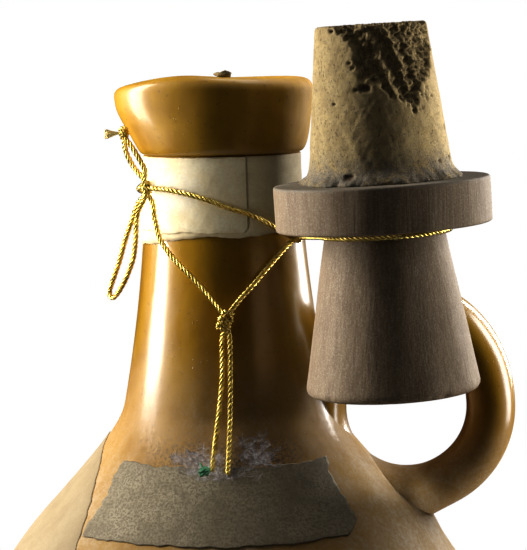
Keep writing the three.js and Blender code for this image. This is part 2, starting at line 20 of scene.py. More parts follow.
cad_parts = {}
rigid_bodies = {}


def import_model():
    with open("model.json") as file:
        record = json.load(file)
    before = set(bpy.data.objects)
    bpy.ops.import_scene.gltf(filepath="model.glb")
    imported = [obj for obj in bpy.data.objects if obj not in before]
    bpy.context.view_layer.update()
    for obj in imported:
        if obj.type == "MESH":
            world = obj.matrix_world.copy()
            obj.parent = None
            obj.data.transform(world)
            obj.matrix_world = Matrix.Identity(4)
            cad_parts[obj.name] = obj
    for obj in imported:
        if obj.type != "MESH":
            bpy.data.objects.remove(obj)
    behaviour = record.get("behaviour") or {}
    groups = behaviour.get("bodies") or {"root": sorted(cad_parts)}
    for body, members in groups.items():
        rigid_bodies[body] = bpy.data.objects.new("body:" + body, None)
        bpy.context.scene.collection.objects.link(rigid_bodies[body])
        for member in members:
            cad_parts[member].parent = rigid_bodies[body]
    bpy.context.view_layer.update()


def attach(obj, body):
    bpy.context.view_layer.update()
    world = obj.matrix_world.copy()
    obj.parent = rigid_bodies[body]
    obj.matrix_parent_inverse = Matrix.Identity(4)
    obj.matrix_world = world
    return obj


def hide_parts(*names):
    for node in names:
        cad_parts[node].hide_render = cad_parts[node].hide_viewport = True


LOG = logging.getLogger("bottle")
MM = 0.001
IMAGE_HEIGHT = 550
TINY = 1e-6
STRAND_REACH = 0.27
STRAND_THINNING = 0.255
LINT_CURL_SCALE = 420.0
Point = tuple[float, float, float]
Colour = tuple[float, float, float]


class Body(Enum):
    """The rigid bodies of the frame that pieces ride on."""

    BOTTLE = "bottle"
    COLLAR = "collar"
    SLING = "sling"
    STOPPER = "stopper"


class Slot(Enum):
    """The record's material slots."""

    GLAZE = "glaze"
    PAPER = "label_paper"
    STAINED = "stained_paper"
    WOOD = "wood"
    CORK = "cork"
    CORD = "gold_cord"
    GREEN = "green_thread"


class Socket:
    """A node's output that adds Math nodes when it is used in an expression."""

    def __init__(self, tree: "NodeTree", socket: bpy.types.NodeSocket) -> None:
        """Keep the tree and the socket."""
        self.tree = tree
        self.socket = socket

    def _math(self, operation: str, *values: Any, clamp: bool = False) -> "Socket":
        """Add a Math node."""
        settings = {"operation": operation, "use_clamp": clamp}
        return self.tree.add("ShaderNodeMath", settings, dict(enumerate(values)))

    def __add__(self, other: Any) -> "Socket":
        """Sum with a value."""
        return self._math("ADD", self, other)

    __radd__ = __add__

    def __sub__(self, other: Any) -> "Socket":
        """Difference from a value."""
        return self._math("SUBTRACT", self, other)

    def __rsub__(self, other: Any) -> "Socket":
        """Value less this."""
        return self._math("SUBTRACT", other, self)

    def __mul__(self, other: Any) -> "Socket":
        """Product with a value."""
        return self._math("MULTIPLY", self, other)

    __rmul__ = __mul__

    def __truediv__(self, other: Any) -> "Socket":
        """Quotient by a value."""
        return self._math("DIVIDE", self, other)

    def abs(self) -> "Socket":
        """Size without its sign."""
        return self._math("ABSOLUTE", self)

    def clamped(self) -> "Socket":
        """Value held between 0 and 1."""
        return self._math("ADD", self, 0.0, clamp=True)

    def least(self, other: Any) -> "Socket":
        """Smaller of two values."""
        return self._math("MINIMUM", self, other)

    def above(self, other: Any) -> "Socket":
        """1 where this is greater than a value, else 0."""
        return self._math("GREATER_THAN", self, other)

    def step(self, low: float, high: float) -> "Socket":
        """Smooth step from 0 at low to 1 at high, or falling when high is the lower one.

        Args:
            low: where the step is 0.
            high: where the step is 1.

        Returns:
            The eased value.
        """
        first, last = min(low, high), max(low, high)
        ends = (0.0, 1.0) if low < high else (1.0, 0.0)
        settings = {"interpolation_type": "SMOOTHSTEP"}
        inputs = {0: self, 1: first, 2: last, 3: ends[0], 4: ends[1]}
        return self.tree.add("ShaderNodeMapRange", settings, inputs)


class NodeTree:
    """A node tree with one way to add any node."""

    def __init__(self, tree: bpy.types.NodeTree) -> None:
        """Wrap a tree."""
        self.tree = tree

    def node(self, kind: str, settings: dict[str, Any] | None = None,
             inputs: dict[Any, Any] | None = None) -> bpy.types.Node:
        """Add a node, set it up and feed its inputs.

        Args:
            kind: the node's type name.
            settings: its own settings.
            inputs: values or links by input name or number.

        Returns:
            The node.
        """
        node = self.tree.nodes.new(kind)
        for name, value in (settings or {}).items():
            setattr(node, name, value)
        for key, value in (inputs or {}).items():
            self.feed(node.inputs[key], value)
        return node

    def feed(self, target: bpy.types.NodeSocket, value: Any) -> None:
        """Link or set one input.

        Args:
            target: the input.
            value: a Socket, a raw output, a colour of three numbers or a plain value.
        """
        if isinstance(value, Socket):
            self.tree.links.new(value.socket, target)
        elif isinstance(value, bpy.types.NodeSocket):
            self.tree.links.new(value, target)
        elif target.type == "RGBA" and len(value) == 3:
            target.default_value = (*value, 1.0)
        else:
            target.default_value = value

    def add(self, kind: str, settings: dict[str, Any] | None = None,
            inputs: dict[Any, Any] | None = None, output: Any = 0) -> Socket:
        """Add a node and take one of its outputs."""
        return Socket(self, self.node(kind, settings, inputs).outputs[output])


class Surface(NodeTree):
    """A material's tree on the piece's own coordinates, in metres."""

    def __init__(self, name: str) -> None:
        """Make an empty material.

        Args:
            name: the material's name.
        """
        self.material = bpy.data.materials.new(name)
        self.material.use_nodes = True
        super().__init__(self.material.node_tree)
        self.tree.nodes.clear()
        self.place = self.add("ShaderNodeTexCoord", output="Object")
        split = self.node("ShaderNodeSeparateXYZ", None, {0: self.place})
        self.x, self.y, self.z = (Socket(self, out) for out in split.outputs)

    def stretched(self, scale: Point, turn: Point = (0.0, 0.0, 0.0)) -> Socket:
        """Coordinates scaled per axis."""
        return self.add("ShaderNodeMapping", None, {0: self.place, 2: turn, 3: scale})

    def noise(self, per_mm: float, detail: float = 4.0, rough: float = 0.55,
              place: Socket | None = None, warp: float = 0.0) -> Socket:
        """Fractal noise about 0.5.

        Args:
            per_mm: its scale in lumps per millimetre.
            detail: its octaves.
            rough: the weight of the finer octaves.
            place: coordinates other than the piece's own.
            warp: how far it is distorted.

        Returns:
            The noise value.
        """
        inputs = {"Vector": place or self.place, "Scale": per_mm / MM, "Detail": detail,
                  "Roughness": rough, "Distortion": warp}
        return self.add("ShaderNodeTexNoise", None, inputs)

    def attribute(self, name: str) -> Socket:
        """Value that the mesh carries under a name."""
        return self.add("ShaderNodeAttribute", {"attribute_name": name}, output="Fac")

    def cells(self, per_mm: float) -> Socket:
        """Distance to the nearest point of a scatter."""
        inputs = {"Vector": self.place, "Scale": per_mm / MM}
        return self.add("ShaderNodeTexVoronoi", {"feature": "F1"}, inputs)

    def mix(self, share: Any, first: Any, second: Any) -> Socket:
        """Blend two colours."""
        settings = {"data_type": "RGBA", "blend_type": "MIX", "clamp_factor": True}
        return self.add("ShaderNodeMix", settings, {0: share, 6: first, 7: second}, 2)

    def bump(self, height: Socket, depth_mm: float, under: Socket | None = None) -> Socket:
        """Bumped normal.

        Args:
            height: the height, from 0 to 1.
            depth_mm: the depth of the relief.
            under: a normal that this one is laid on.

        Returns:
            The normal.
        """
        inputs: dict[Any, Any] = {"Strength": 1.0, "Distance": depth_mm * MM, "Height": height}
        if under is not None:
            inputs["Normal"] = under
        return self.add("ShaderNodeBump", None, inputs)

    def finish(self, **inputs: Any) -> bpy.types.Material:
        """Close the tree with a Principled shader.

        Args:
            inputs: the shader's inputs, with underscores for spaces.

        Returns:
            The material.
        """
        named = {key.replace("_", " "): value for key, value in inputs.items()}
        shader = self.add("ShaderNodeBsdfPrincipled", None, named)
        self.node("ShaderNodeOutputMaterial", None, {"Surface": shader})
        return self.material


@dataclass(frozen=True)
class GlazeFinish:
    """Caramel stoneware glaze, worn, streaked and dusty."""

    honey: Colour = (0.55, 0.31, 0.014)
    amber: Colour = (0.42, 0.215, 0.008)
    umber: Colour = (0.20, 0.092, 0.010)
    dust: Colour = (0.50, 0.40, 0.27)
    soot: Colour = (0.055, 0.045, 0.038)
    name: str = "caramel_glaze"
    dusting: float = 1.0
    dust_top: float = 152.0

    def material(self) -> bpy.types.Material:
        """Glossy glaze with painted shade that darkens it down the shoulder, under specks and dust.

        Returns:
            The material.
        """
        s = Surface(self.name)
        cloud = s.noise(0.05, 5.0, 0.6, warp=0.6)
        runs = s.noise(0.22, 3.0, 0.5, s.stretched((1.0, 1.0, 0.16)))
        tone = s.mix((cloud * 0.65 + runs * 0.35).step(0.36, 0.62), self.amber, self.honey)
        # painted shade: the glaze is mixed towards umber lower down the neck and shoulder
        low = s.z.step(182 * MM, 128 * MM)
        tone = s.mix(low * 0.5, tone, self.umber)
        iron = s.noise(1.1, 2.0, 0.6).step(0.63, 0.72)
        tone = s.mix(iron * 0.45, tone, self.umber)
        grime = s.noise(0.35, 6.0, 0.75, warp=1.0)
        grit = s.noise(1.6, 5.0, 0.75)
        front = s.y.step(-2 * MM, -14 * MM)
        beside = (s.x.abs() - 1.5 * MM).step(11 * MM, 1 * MM) * front
        settled = s.z.step(self.dust_top * MM, (self.dust_top - 28) * MM) * self.dusting
        settled = settled * s.z.step(80 * MM, 104 * MM)
        flanks = s.x.abs().step(16 * MM, 34 * MM) * s.z.step(134 * MM, 122 * MM)
        patch = settled * (0.30 + beside * 0.35 + flanks * 0.55) * (0.55 + grime.step(0.40, 0.64) * 0.45)
        film = (patch * (0.7 + grit.step(0.4, 0.6) * 0.5) + grime.step(0.62, 0.78) * 0.08).clamped()
        specks = s.cells(0.9).step(0.16, 0.05) * s.noise(0.12, 2.0).step(0.44, 0.6)
        film = (film + specks * 0.25).clamped()
        colour = s.mix(film, tone, self.dust)
        nest = s.z.step(134 * MM, 127 * MM) * s.z.step(117 * MM, 122 * MM) * front
        nest = nest * s.x.abs().step(20 * MM, 8 * MM) * grit.step(0.44, 0.58)
        colour = s.mix(nest * 0.8, colour, self.soot)
        wipe = s.noise(0.16, 5.0, 0.7, s.stretched((1.0, 1.0, 0.3)))
        veil = (settled * 0.85 + film).clamped()
        worn = s.z.step(184 * MM, 187 * MM) * (0.4 + s.x.step(0.0, 16 * MM) * 0.6)
        rough = (0.30 + wipe.step(0.42, 0.7) * 0.20 + veil * 0.45 + worn * 0.45).clamped()
        wave = s.bump(s.noise(0.10, 2.0, 0.4), 0.35)
        pits = s.bump(specks + grime * 0.35, 0.05, wave)
        return s.finish(Base_Color=colour, Roughness=rough, Normal=pits, IOR=1.5,
                        Coat_Weight=(0.8 - veil * 0.8 - worn).clamped(), Coat_Roughness=0.2, Coat_IOR=1.6)


@dataclass(frozen=True)
class PaperFinish:
    """Aged paper on its own UV map, one square per sheet."""

    name: str
    pale: Colour
    aged: Colour
    stain_and_shade: Colour
    staining: float = 0.4
    rubbed: float = 0.0
    # split: where across the sheet the painted shade on its right part begins
    split: float = 0.0
    dust: float = 0.0
    grit: float = 0.2

    def material(self) -> bpy.types.Material:
        """Fibrous paper with stains, worn edges, rubbed patches, dust and a painted shaded side past the
        split.

        Returns:
            The material.
        """
        s = Surface(self.name)
        sheet = s.add("ShaderNodeUVMap", {"uv_map": "sheet"})
        split = s.node("ShaderNodeSeparateXYZ", None, {0: sheet})
        across, up = Socket(s, split.outputs[0]), Socket(s, split.outputs[1])
        edge = across.least(1.0 - across).least(up.least(1.0 - up))
        fibres = s.noise(1.6, 5.0, 0.7)
        cloud = s.noise(0.16, 6.0, 0.65, warp=0.7)
        colour = s.mix(cloud.step(0.35, 0.66), self.pale, self.aged)
        worn = (edge + (fibres - 0.5) * 0.14).step(0.10, 0.0)
        blot = (s.noise(0.09, 6.0, 0.7, warp=1.2).step(0.46, 0.66) * self.staining)
        colour = s.mix((blot + worn * 0.35).clamped(), colour, self.stain_and_shade)
        # painted shade: past the split the sheet is mixed towards its darkest paper colour
        if self.split:
            lean = across + (cloud - 0.5) * 0.04 - (up - 0.5) * 0.05
            side = lean.step(self.split - 0.012, self.split + 0.012)
            colour = s.mix(side * 0.35, colour, self.stain_and_shade)
        if self.rubbed:
            spot = ((across - 0.52) * (across - 0.52) * 9.0 + (up - 0.55) * (up - 0.55) * 5.0)
            bare = (spot + (fibres - 0.5) * 1.3).step(0.55, 0.1) * self.rubbed
            colour = s.mix(bare, colour, (0.80, 0.76, 0.66))
        if self.dust:
            lint = s.noise(0.7, 6.0, 0.8, warp=1.5).step(0.46, 0.7) * self.dust
            colour = s.mix(lint, colour, (0.33, 0.29, 0.22))
        grime = s.noise(2.0, 5.0, 0.8, warp=0.4).step(0.45, 0.58) * self.grit
        colour = s.mix(grime, colour, self.stain_and_shade)
        flecks = s.cells(0.75).step(0.10, 0.04) * 0.4
        colour = s.mix(flecks, colour, self.stain_and_shade)
        colour = s.mix((fibres.step(0.3, 0.7)) * 0.22, colour, self.aged)
        relief = s.bump(fibres * 0.6 + cloud * 0.2, 0.045)
        return s.finish(Base_Color=colour, Roughness=0.82, Normal=relief)


@dataclass(frozen=True)
class WoodFinish:
    """Weathered turned wood about the stopper's own axis."""

    light: Colour = (0.37, 0.272, 0.168)
    dark: Colour = (0.25, 0.170, 0.098)
    chalk: Colour = (0.52, 0.45, 0.345)
    dust: Colour = (0.25, 0.225, 0.175)

    def material(self) -> bpy.types.Material:
        """Grey-brown wood with fine upright grain, slanting scratches and chalky dust.

        Returns:
            The material.
        """
        s = Surface("weathered_wood")
        fine = s.noise(2.2, 4.0, 0.6, s.stretched((1.0, 1.0, 0.045)))
        broad = s.noise(0.40, 4.0, 0.6, s.stretched((1.0, 1.0, 0.12), (0.0, 0.35, 0.2)))
        cloud = s.noise(0.09, 5.0, 0.6, warp=0.8)
        grain = fine * 0.62 + broad * 0.38
        colour = s.mix(grain.step(0.36, 0.62), self.dark, self.light)
        colour = s.mix(cloud.step(0.44, 0.72) * 0.45, colour, self.dark)
        scratch = s.noise(1.1, 6.0, 0.75, s.stretched((1.0, 1.0, 0.22), (0.0, 0.5, 0.3)))
        chalk = scratch.step(0.57, 0.70) * s.noise(0.12, 3.0).step(0.42, 0.64)
        colour = s.mix(chalk * 0.38, colour, self.chalk)
        specks = s.cells(1.5).step(0.17, 0.06) * s.noise(0.2, 2.0).step(0.5, 0.6)
        colour = s.mix(specks * 0.5, colour, self.chalk)
        powder = s.noise(3.2, 3.0, 0.8)
        colour = s.mix(powder.step(0.53, 0.63) * 0.6, colour, self.chalk)
        colour = s.mix(powder.step(0.47, 0.37) * 0.6, colour, self.dark)
        dents = s.cells(0.8).step(0.10, 0.03)
        colour = s.mix(dents * 0.5, colour, self.dark)
        level = s.z - s.x * 0.0427
        settled = level.step(178.5 * MM, 179.1 * MM) * s.noise(0.6, 5.0, 0.7).step(0.3, 0.55)
        colour = s.mix(settled * 0.75, colour, self.dust)
        relief = s.bump(grain * 0.7 + chalk * 0.2 - dents * 0.5, 0.12)
        return s.finish(Base_Color=colour, Roughness=0.72, Normal=relief)


@dataclass(frozen=True)
class CorkFinish:
    """Dry cork, dusty at the root, dark and crumbling where it is broken."""

    tan: Colour = (0.54, 0.41, 0.195)
    bark: Colour = (0.38, 0.275, 0.12)
    pit: Colour = (0.15, 0.11, 0.065)
    dust: Colour = (0.27, 0.235, 0.178)

    def material(self) -> bpy.types.Material:
        """Mottled cork, with the broken patch and the dirt read from the mesh.

        Returns:
            The material.
        """
        s = Surface("dry_cork")
        broken, hole_shade, dirt = (s.attribute(name) for name in ("broken", "hole_shade", "dirt"))
        mottle = s.noise(0.30, 6.0, 0.7, warp=0.5)
        grains = s.noise(3.4, 3.0, 0.8)
        colour = s.mix(mottle.step(0.34, 0.64), self.bark, self.tan)
        colour = s.mix(grains.step(0.50, 0.62) * 0.6, colour, self.bark)
        pores = s.noise(2.4, 4.0, 0.65, s.stretched((1.0, 1.0, 0.6))).step(0.58, 0.66)
        colour = s.mix(pores * 0.6, colour, self.pit)
        haze = s.noise(0.5, 6.0, 0.75)
        colour = s.mix((dirt * haze.step(0.34, 0.58)).clamped(), colour, self.dust)
        soot = dirt * grains.step(0.46, 0.58)
        colour = s.mix((soot * 0.75).clamped(), colour, self.pit)
        crumb = s.noise(0.9, 6.0, 0.7).step(0.42, 0.68)
        wound = s.mix(crumb, self.bark, self.tan)
        wound = s.mix(grains.step(0.46, 0.56) * 0.7, wound, self.pit)
        threads = s.noise(1.3, 4.0, 0.55, s.stretched((1.0, 1.0, 0.16), (0.0, 0.25, 0.0)))
        strands = (threads - 0.5).abs().step(0.040, 0.008)
        wound = s.mix(strands * 0.8, wound, self.tan)
        colour = s.mix((broken * 1.2).clamped(), colour, wound)
        # painted shade: the holes are filled with the dark pit colour
        colour = s.mix(hole_shade, colour, self.pit)
        relief = s.bump(mottle * 0.04 + grains * 0.35 - pores * 0.4 + broken * crumb * 1.2, 0.2)
        return s.finish(Base_Color=colour, Roughness=0.93, Normal=relief)


@dataclass(frozen=True)
class ThreadFinish:
    """Metallic or plain thread."""

    name: str
    bright: Colour
    dull: Colour
    metal: float
    rough: float

    def material(self) -> bpy.types.Material:
        """Thread whose foil is duller in patches.

        Returns:
            The material.
        """
        s = Surface(self.name)
        patch = s.noise(0.8, 4.0, 0.6)
        foil = s.noise(6.0, 2.0, 0.6)
        colour = s.mix((patch * 0.6 + foil * 0.4).step(0.36, 0.64), self.dull, self.bright)
        rough = self.rough + foil * 0.2
        relief = s.bump(foil, 0.05)
        return s.finish(Base_Color=colour, Roughness=rough, Metallic=self.metal, Normal=relief)


@dataclass(frozen=True)
class PlainFinish:
    """Lint, crumbs and the pale floor."""

    name: str
    light: Colour
    dark: Colour
    per_mm: float
    rough: float = 0.9

    def material(self) -> bpy.types.Material:
        """Matt colour with soft clouds.

        Returns:
            The material.
        """
        s = Surface(self.name)
        colour = s.mix(s.noise(self.per_mm, 3.0).step(0.35, 0.65), self.dark, self.light)
        return s.finish(Base_Color=colour, Roughness=self.rough)


def placed(name: str, data: bpy.types.ID) -> bpy.types.Object:
    """Object of some data, linked to the scene.

    Args:
        name: the object's name.
        data: its mesh, curve, light or camera.

    Returns:
        The object.
    """
    made = bpy.data.objects.new(name, data)
    bpy.context.scene.collection.objects.link(made)
    return made


def mesh_object(name: str, points: np.ndarray, faces: Iterable[Sequence[int]],
                material: bpy.types.Material, uv: np.ndarray | None = None) -> bpy.types.Object:
    """Smooth mesh at the origin.

    Args:
        name: the object's name.
        points: corners in millimetres.
        faces: corner numbers of each face.
        material: the finish.
        uv: a sheet coordinate for each point.

    Returns:
        The linked object.
    """
    mesh = bpy.data.meshes.new(name)
    mesh.from_pydata((np.asarray(points, float) * MM).tolist(), [], [list(f) for f in faces])
    mesh.shade_smooth()
    if uv is not None:
        corners = np.zeros(len(mesh.loops), np.int32)
        mesh.loops.foreach_get("vertex_index", corners)
        layer = mesh.uv_layers.new(name="sheet")
        layer.data.foreach_set("uv", np.asarray(uv, np.float32)[corners].ravel())
    mesh.materials.append(material)
    mesh.update()
    return placed(name, mesh)


def grid_faces(rows: int, columns: int, wrap: bool = False) -> list[tuple[int, int, int, int]]:
    """Quads of a grid of points, row after row.

    Args:
        rows: the number of rows.
        columns: points in a row.
        wrap: whether the last column meets the first.

    Returns:
        The quads.
    """
    faces = []
    for row in range(rows - 1):
        for column in range(columns if wrap else columns - 1):
            after = (column + 1) % columns
            low = row * columns
            high = low + columns
            faces.append((low + column, low + after, high + after, high + column))
    return faces


def lathe(outline: np.ndarray, segments: int) -> tuple[np.ndarray, list[Sequence[int]]]:
    """Solid of revolution about +Z whose outline starts and ends on the axis.

    Args:
        outline: radius and height of each row, counter-clockwise with the axis on the left.
        segments: columns round the axis.

    Returns:
        The points and the faces, with a fan at each pole.
    """
    turn = np.linspace(0.0, 2.0 * math.pi, segments, endpoint=False)
    rows = outline[1:-1]
    radius, height = rows[:, :1], rows[:, 1:]
    ring = np.stack([radius * np.cos(turn), radius * np.sin(turn),
                     np.repeat(height, segments, 1)], -1).reshape(-1, 3)
    points = np.vstack([ring, [0.0, 0.0, outline[0, 1]], [0.0, 0.0, outline[-1, 1]]])
    faces: list[Sequence[int]] = list(grid_faces(len(rows), segments, True))
    last = (len(rows) - 1) * segments
    for column in range(segments):
        after = (column + 1) % segments
        faces.append((len(ring), after, column))
        faces.append((len(ring) + 1, last + column, last + after))
    return points, faces


def bezier(corners: Sequence[Sequence[float]], steps: int) -> np.ndarray:
    """Points of a Bezier curve of any degree.

    Args:
        corners: its control points.
        steps: the number of steps.

    Returns:
        The points, both ends included.
    """
    t = np.linspace(0.0, 1.0, steps + 1)[:, None]
    level = [np.asarray(corner, float) * np.ones_like(t) for corner in corners]
    while len(level) > 1:
        level = [(1.0 - t) * a + t * b for a, b in zip(level, level[1:])]
    return level[0]


def straight(start: Sequence[float], stop: Sequence[float], count: int) -> np.ndarray:
    """Even points of a line in the plane."""
    return np.column_stack([np.linspace(a, b, count) for a, b in zip(start, stop)])


def sheet_grid(rows: int, columns: int) -> tuple[np.ndarray, np.ndarray]:
    """Places across and up a sheet, from 0 to 1, row after row."""
    across = np.tile(np.linspace(0.0, 1.0, columns), rows)
    return across, np.repeat(np.linspace(0.0, 1.0, rows), columns)


def ease(value: np.ndarray | float, low: float, high: float) -> np.ndarray:
    """Smooth step from 0 at low to 1 at high."""
    t = np.clip((np.asarray(value, float) - low) / (high - low), 0.0, 1.0)
    return t * t * (3.0 - 2.0 * t)


def ripple(points: np.ndarray, size: float, seed: int, octaves: int = 4) -> np.ndarray:
    """Smooth random field made of waves, about 0 and mostly within 1.

    Args:
        points: where it is read, in millimetres.
        size: the length of its longest waves.
        seed: the seed of its waves.
        octaves: how many times the waves halve.

    Returns:
        One value for each point.
    """
    rng = np.random.default_rng(seed)
    total = np.zeros(len(points))
    for octave in range(octaves):
        for _ in range(5):
            way = rng.normal(size=points.shape[1])
            way *= 2.0 * math.pi * 2.0 ** octave / size / np.linalg.norm(way)
            total += np.sin(points @ way + rng.uniform(0.0, 2.0 * math.pi)) * 0.62 ** octave
    return total / 3.2


def smooth_route(points: Sequence[Point], step: float) -> np.ndarray:
    """Even points along a smooth curve through the given ones.

    Args:
        points: the route's points.
        step: the distance between the points returned.

    Returns:
        The points.
    """
    knots = np.asarray(points, float)
    ends = np.vstack([2.0 * knots[0] - knots[1], knots, 2.0 * knots[-1] - knots[-2]])
    dense = []
    for a, b, c, d in zip(ends, ends[1:], ends[2:], ends[3:]):
        out, back = (c - a) / 6.0, (d - b) / 6.0
        reach = np.linalg.norm(c - b) / 3.0
        out *= min(1.0, reach / max(np.linalg.norm(out), 1e-9))
        back *= min(1.0, reach / max(np.linalg.norm(back), 1e-9))
        dense.append(bezier([b, b + out, c - back, c], 24)[:-1])
    line = np.vstack([*dense, knots[-1:]])
    far = np.concatenate([[0.0], np.cumsum(np.linalg.norm(np.diff(line, axis=0), axis=1))])
    places = np.linspace(0.0, far[-1], max(4, round(far[-1] / step)) + 1)
    return np.stack([np.interp(places, far, line[:, axis]) for axis in range(3)], 1)


def dress(piece: bpy.types.Object, body: Body, slot: Slot, *nodes: str) -> bpy.types.Object:
    """Tie a piece to its body and hide the nodes that it stands for.

    Args:
        piece: the piece.
        body: the body that it rides on.
        slot: its material slot; not used.
        nodes: the solids that it replaces.

    Returns:
        The piece.
    """
    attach(piece, body.value)
    if nodes:
        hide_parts(*nodes)
    LOG.info("%s: %d faces on %s", piece.name, len(piece.data.polygons), body.value)
    return piece


class ModifierTree(NodeTree):
    """A Geometry Nodes tree with named inputs that is run once on an object."""

    def __init__(self, name: str, inputs: dict[str, str]) -> None:
        """Make the tree's interface.

        Args:
            name: the tree's name.
            inputs: socket types by input name.
        """
        group = bpy.data.node_groups.new(name, "GeometryNodeTree")
        super().__init__(group)
        face = group.interface
        face.new_socket("Geometry", in_out="INPUT", socket_type="NodeSocketGeometry")
        self.identifiers = {
            label: face.new_socket(label, in_out="INPUT", socket_type=kind).identifier
            for label, kind in inputs.items()
        }
        face.new_socket("Geometry", in_out="OUTPUT", socket_type="NodeSocketGeometry")
        self.entry = self.node("NodeGroupInput")

    def __getitem__(self, label: str) -> Socket:
        """Input of the tree by its name."""
        return Socket(self, self.entry.outputs[label])

    def close(self, geometry: Socket) -> None:
        """End the tree in real, shaded geometry with its material.

        Args:
            geometry: the finished geometry.
        """
        smooth = self.add("GeometryNodeSetShadeSmooth", None, {"Geometry": geometry})
        real = self.add("GeometryNodeRealizeInstances", None, {"Geometry": smooth})
        dressed = self.add("GeometryNodeSetMaterial", None,
                           {"Geometry": real, "Material": self["Material"]})
        self.node("NodeGroupOutput", None, {0: dressed})

    def run(self, source: bpy.types.Object, name: str, **values: Any) -> bpy.types.Object:
        """Run the tree on an object and keep the result as a plain mesh.

        Args:
            source: a curve or mesh object, which is removed.
            name: the result's name.
            values: the tree's inputs, with underscores for spaces.

        Returns:
            The mesh object at the origin.
        """
        modifier = source.modifiers.new(self.tree.name, "NODES")
        modifier.node_group = self.tree
        for label, value in values.items():
            modifier[self.identifiers[label.replace("_", " ")]] = value
        graph = bpy.context.evaluated_depsgraph_get()
        mesh = bpy.data.meshes.new_from_object(source.evaluated_get(graph))
        bpy.data.objects.remove(source)
        mesh.name = name
        return placed(name, mesh)


def curve_object(name: str, routes: Sequence[np.ndarray]) -> bpy.types.Object:
    """Curve of straight-stepped open splines.

    Args:
        name: the object's name.
        routes: the points of each spline in millimetres.

    Returns:
        The linked curve object.
    """
    data = bpy.data.curves.new(name, "CURVE")
    data.dimensions = "3D"
    for route in routes:
        spline = data.splines.new("POLY")
        spline.points.add(len(route) - 1)
        flat = np.hstack([np.asarray(route) * MM, np.ones((len(route), 1))])
        spline.points.foreach_set("co", flat.astype(np.float32).ravel())
    return placed(name, data)


def twisted_cord_tree() -> ModifierTree:
    """Tree that lays strands in a twist round a line.

    Returns:
        The tree.
    """
    tree = ModifierTree("twisted_cord", {
        "Diameter": "NodeSocketFloat", "Lay": "NodeSocketFloat", "Strands": "NodeSocketInt",
        "Material": "NodeSocketMaterial"})
    line = tree.add("GeometryNodeSetCurveNormal", {"mode": "MINIMUM_TWIST"},
                    {"Curve": Socket(tree, tree.entry.outputs[0])})
    copies = tree.node("GeometryNodeDuplicateElements", {"domain": "SPLINE"},
                       {"Geometry": line, "Amount": tree["Strands"]})
    number = Socket(tree, copies.outputs["Duplicate Index"])
    far = tree.add("GeometryNodeSplineParameter", output="Length")
    angle = (far / tree["Lay"] + number / tree["Strands"]) * (2.0 * math.pi)
    aside = tree.add("ShaderNodeVectorRotate", {"rotation_type": "AXIS_ANGLE"}, {
        "Vector": tree.add("GeometryNodeInputNormal"),
        "Axis": tree.add("GeometryNodeInputTangent"), "Angle": angle})
    laid = tree["Strands"].above(1)
    reach = tree["Diameter"] * STRAND_REACH * laid
    offset = tree.add("ShaderNodeVectorMath", {"operation": "SCALE"},
                      {0: aside, "Scale": reach})
    moved = tree.add("GeometryNodeSetPosition", None,
                     {"Geometry": copies.outputs["Geometry"], "Offset": offset})
    thickness = tree["Diameter"] * (0.5 - laid * STRAND_THINNING)
    ring = tree.add("GeometryNodeCurvePrimitiveCircle", None,
                    {"Resolution": 7, "Radius": thickness})
    tube = tree.add("GeometryNodeCurveToMesh", None,
                    {"Curve": moved, "Profile Curve": ring, "Fill Caps": True})
    tree.close(tube)
    return tree


def lint_tree() -> ModifierTree:
    """Tree that grows curled fibres from a patch.

    Returns:
        The tree.
    """
    tree = ModifierTree("lint", {
        "Density": "NodeSocketFloat", "Length": "NodeSocketFloat", "Curl": "NodeSocketFloat",
        "Thickness": "NodeSocketFloat", "Seed": "NodeSocketInt",
        "Material": "NodeSocketMaterial"})
    grown = tree.add("GeometryNodeDistributePointsOnFaces", None, {
        "Mesh": Socket(tree, tree.entry.outputs[0]), "Density": tree["Density"],
        "Seed": tree["Seed"]})
    line = tree.add("GeometryNodeCurvePrimitiveLine", None, {"End": (0.0, 0.0, 1.0)})
    fine = tree.add("GeometryNodeResampleCurve", None, {"Curve": line, "Count": 12})
    lean = tree.add("FunctionNodeRandomValue", {"data_type": "FLOAT_VECTOR"}, {
        0: (-1.5, -1.5, 0.0), 1: (1.5, 1.5, 6.28), "Seed": tree["Seed"]})
    size = tree.add("FunctionNodeRandomValue", {"data_type": "FLOAT"}, {
        2: 0.35, 3: 1.0, "Seed": tree["Seed"] + 7})
    stems = tree.add("GeometryNodeInstanceOnPoints", None, {
        "Points": grown, "Instance": fine, "Rotation": lean,
        "Scale": size * tree["Length"]})
    real = tree.add("GeometryNodeRealizeInstances", None, {"Geometry": stems})
    stray = tree.add("ShaderNodeTexNoise", None, {
        "Vector": tree.add("GeometryNodeInputPosition"), "Scale": LINT_CURL_SCALE, "Detail": 2.0},
        "Color")
    about = tree.add("ShaderNodeVectorMath", {"operation": "SUBTRACT"},
                     {0: stray, 1: (0.5, 0.5, 0.5)})
    curl = tree.add("ShaderNodeVectorMath", {"operation": "SCALE"},
                    {0: about, "Scale": tree["Curl"]})
    moved = tree.add("GeometryNodeSetPosition", None, {"Geometry": real, "Offset": curl})
    ring = tree.add("GeometryNodeCurvePrimitiveCircle", None,
                    {"Resolution": 3, "Radius": tree["Thickness"]})
    tube = tree.add("GeometryNodeCurveToMesh", None, {"Curve": moved, "Profile Curve": ring})
    tree.close(tube)
    return tree


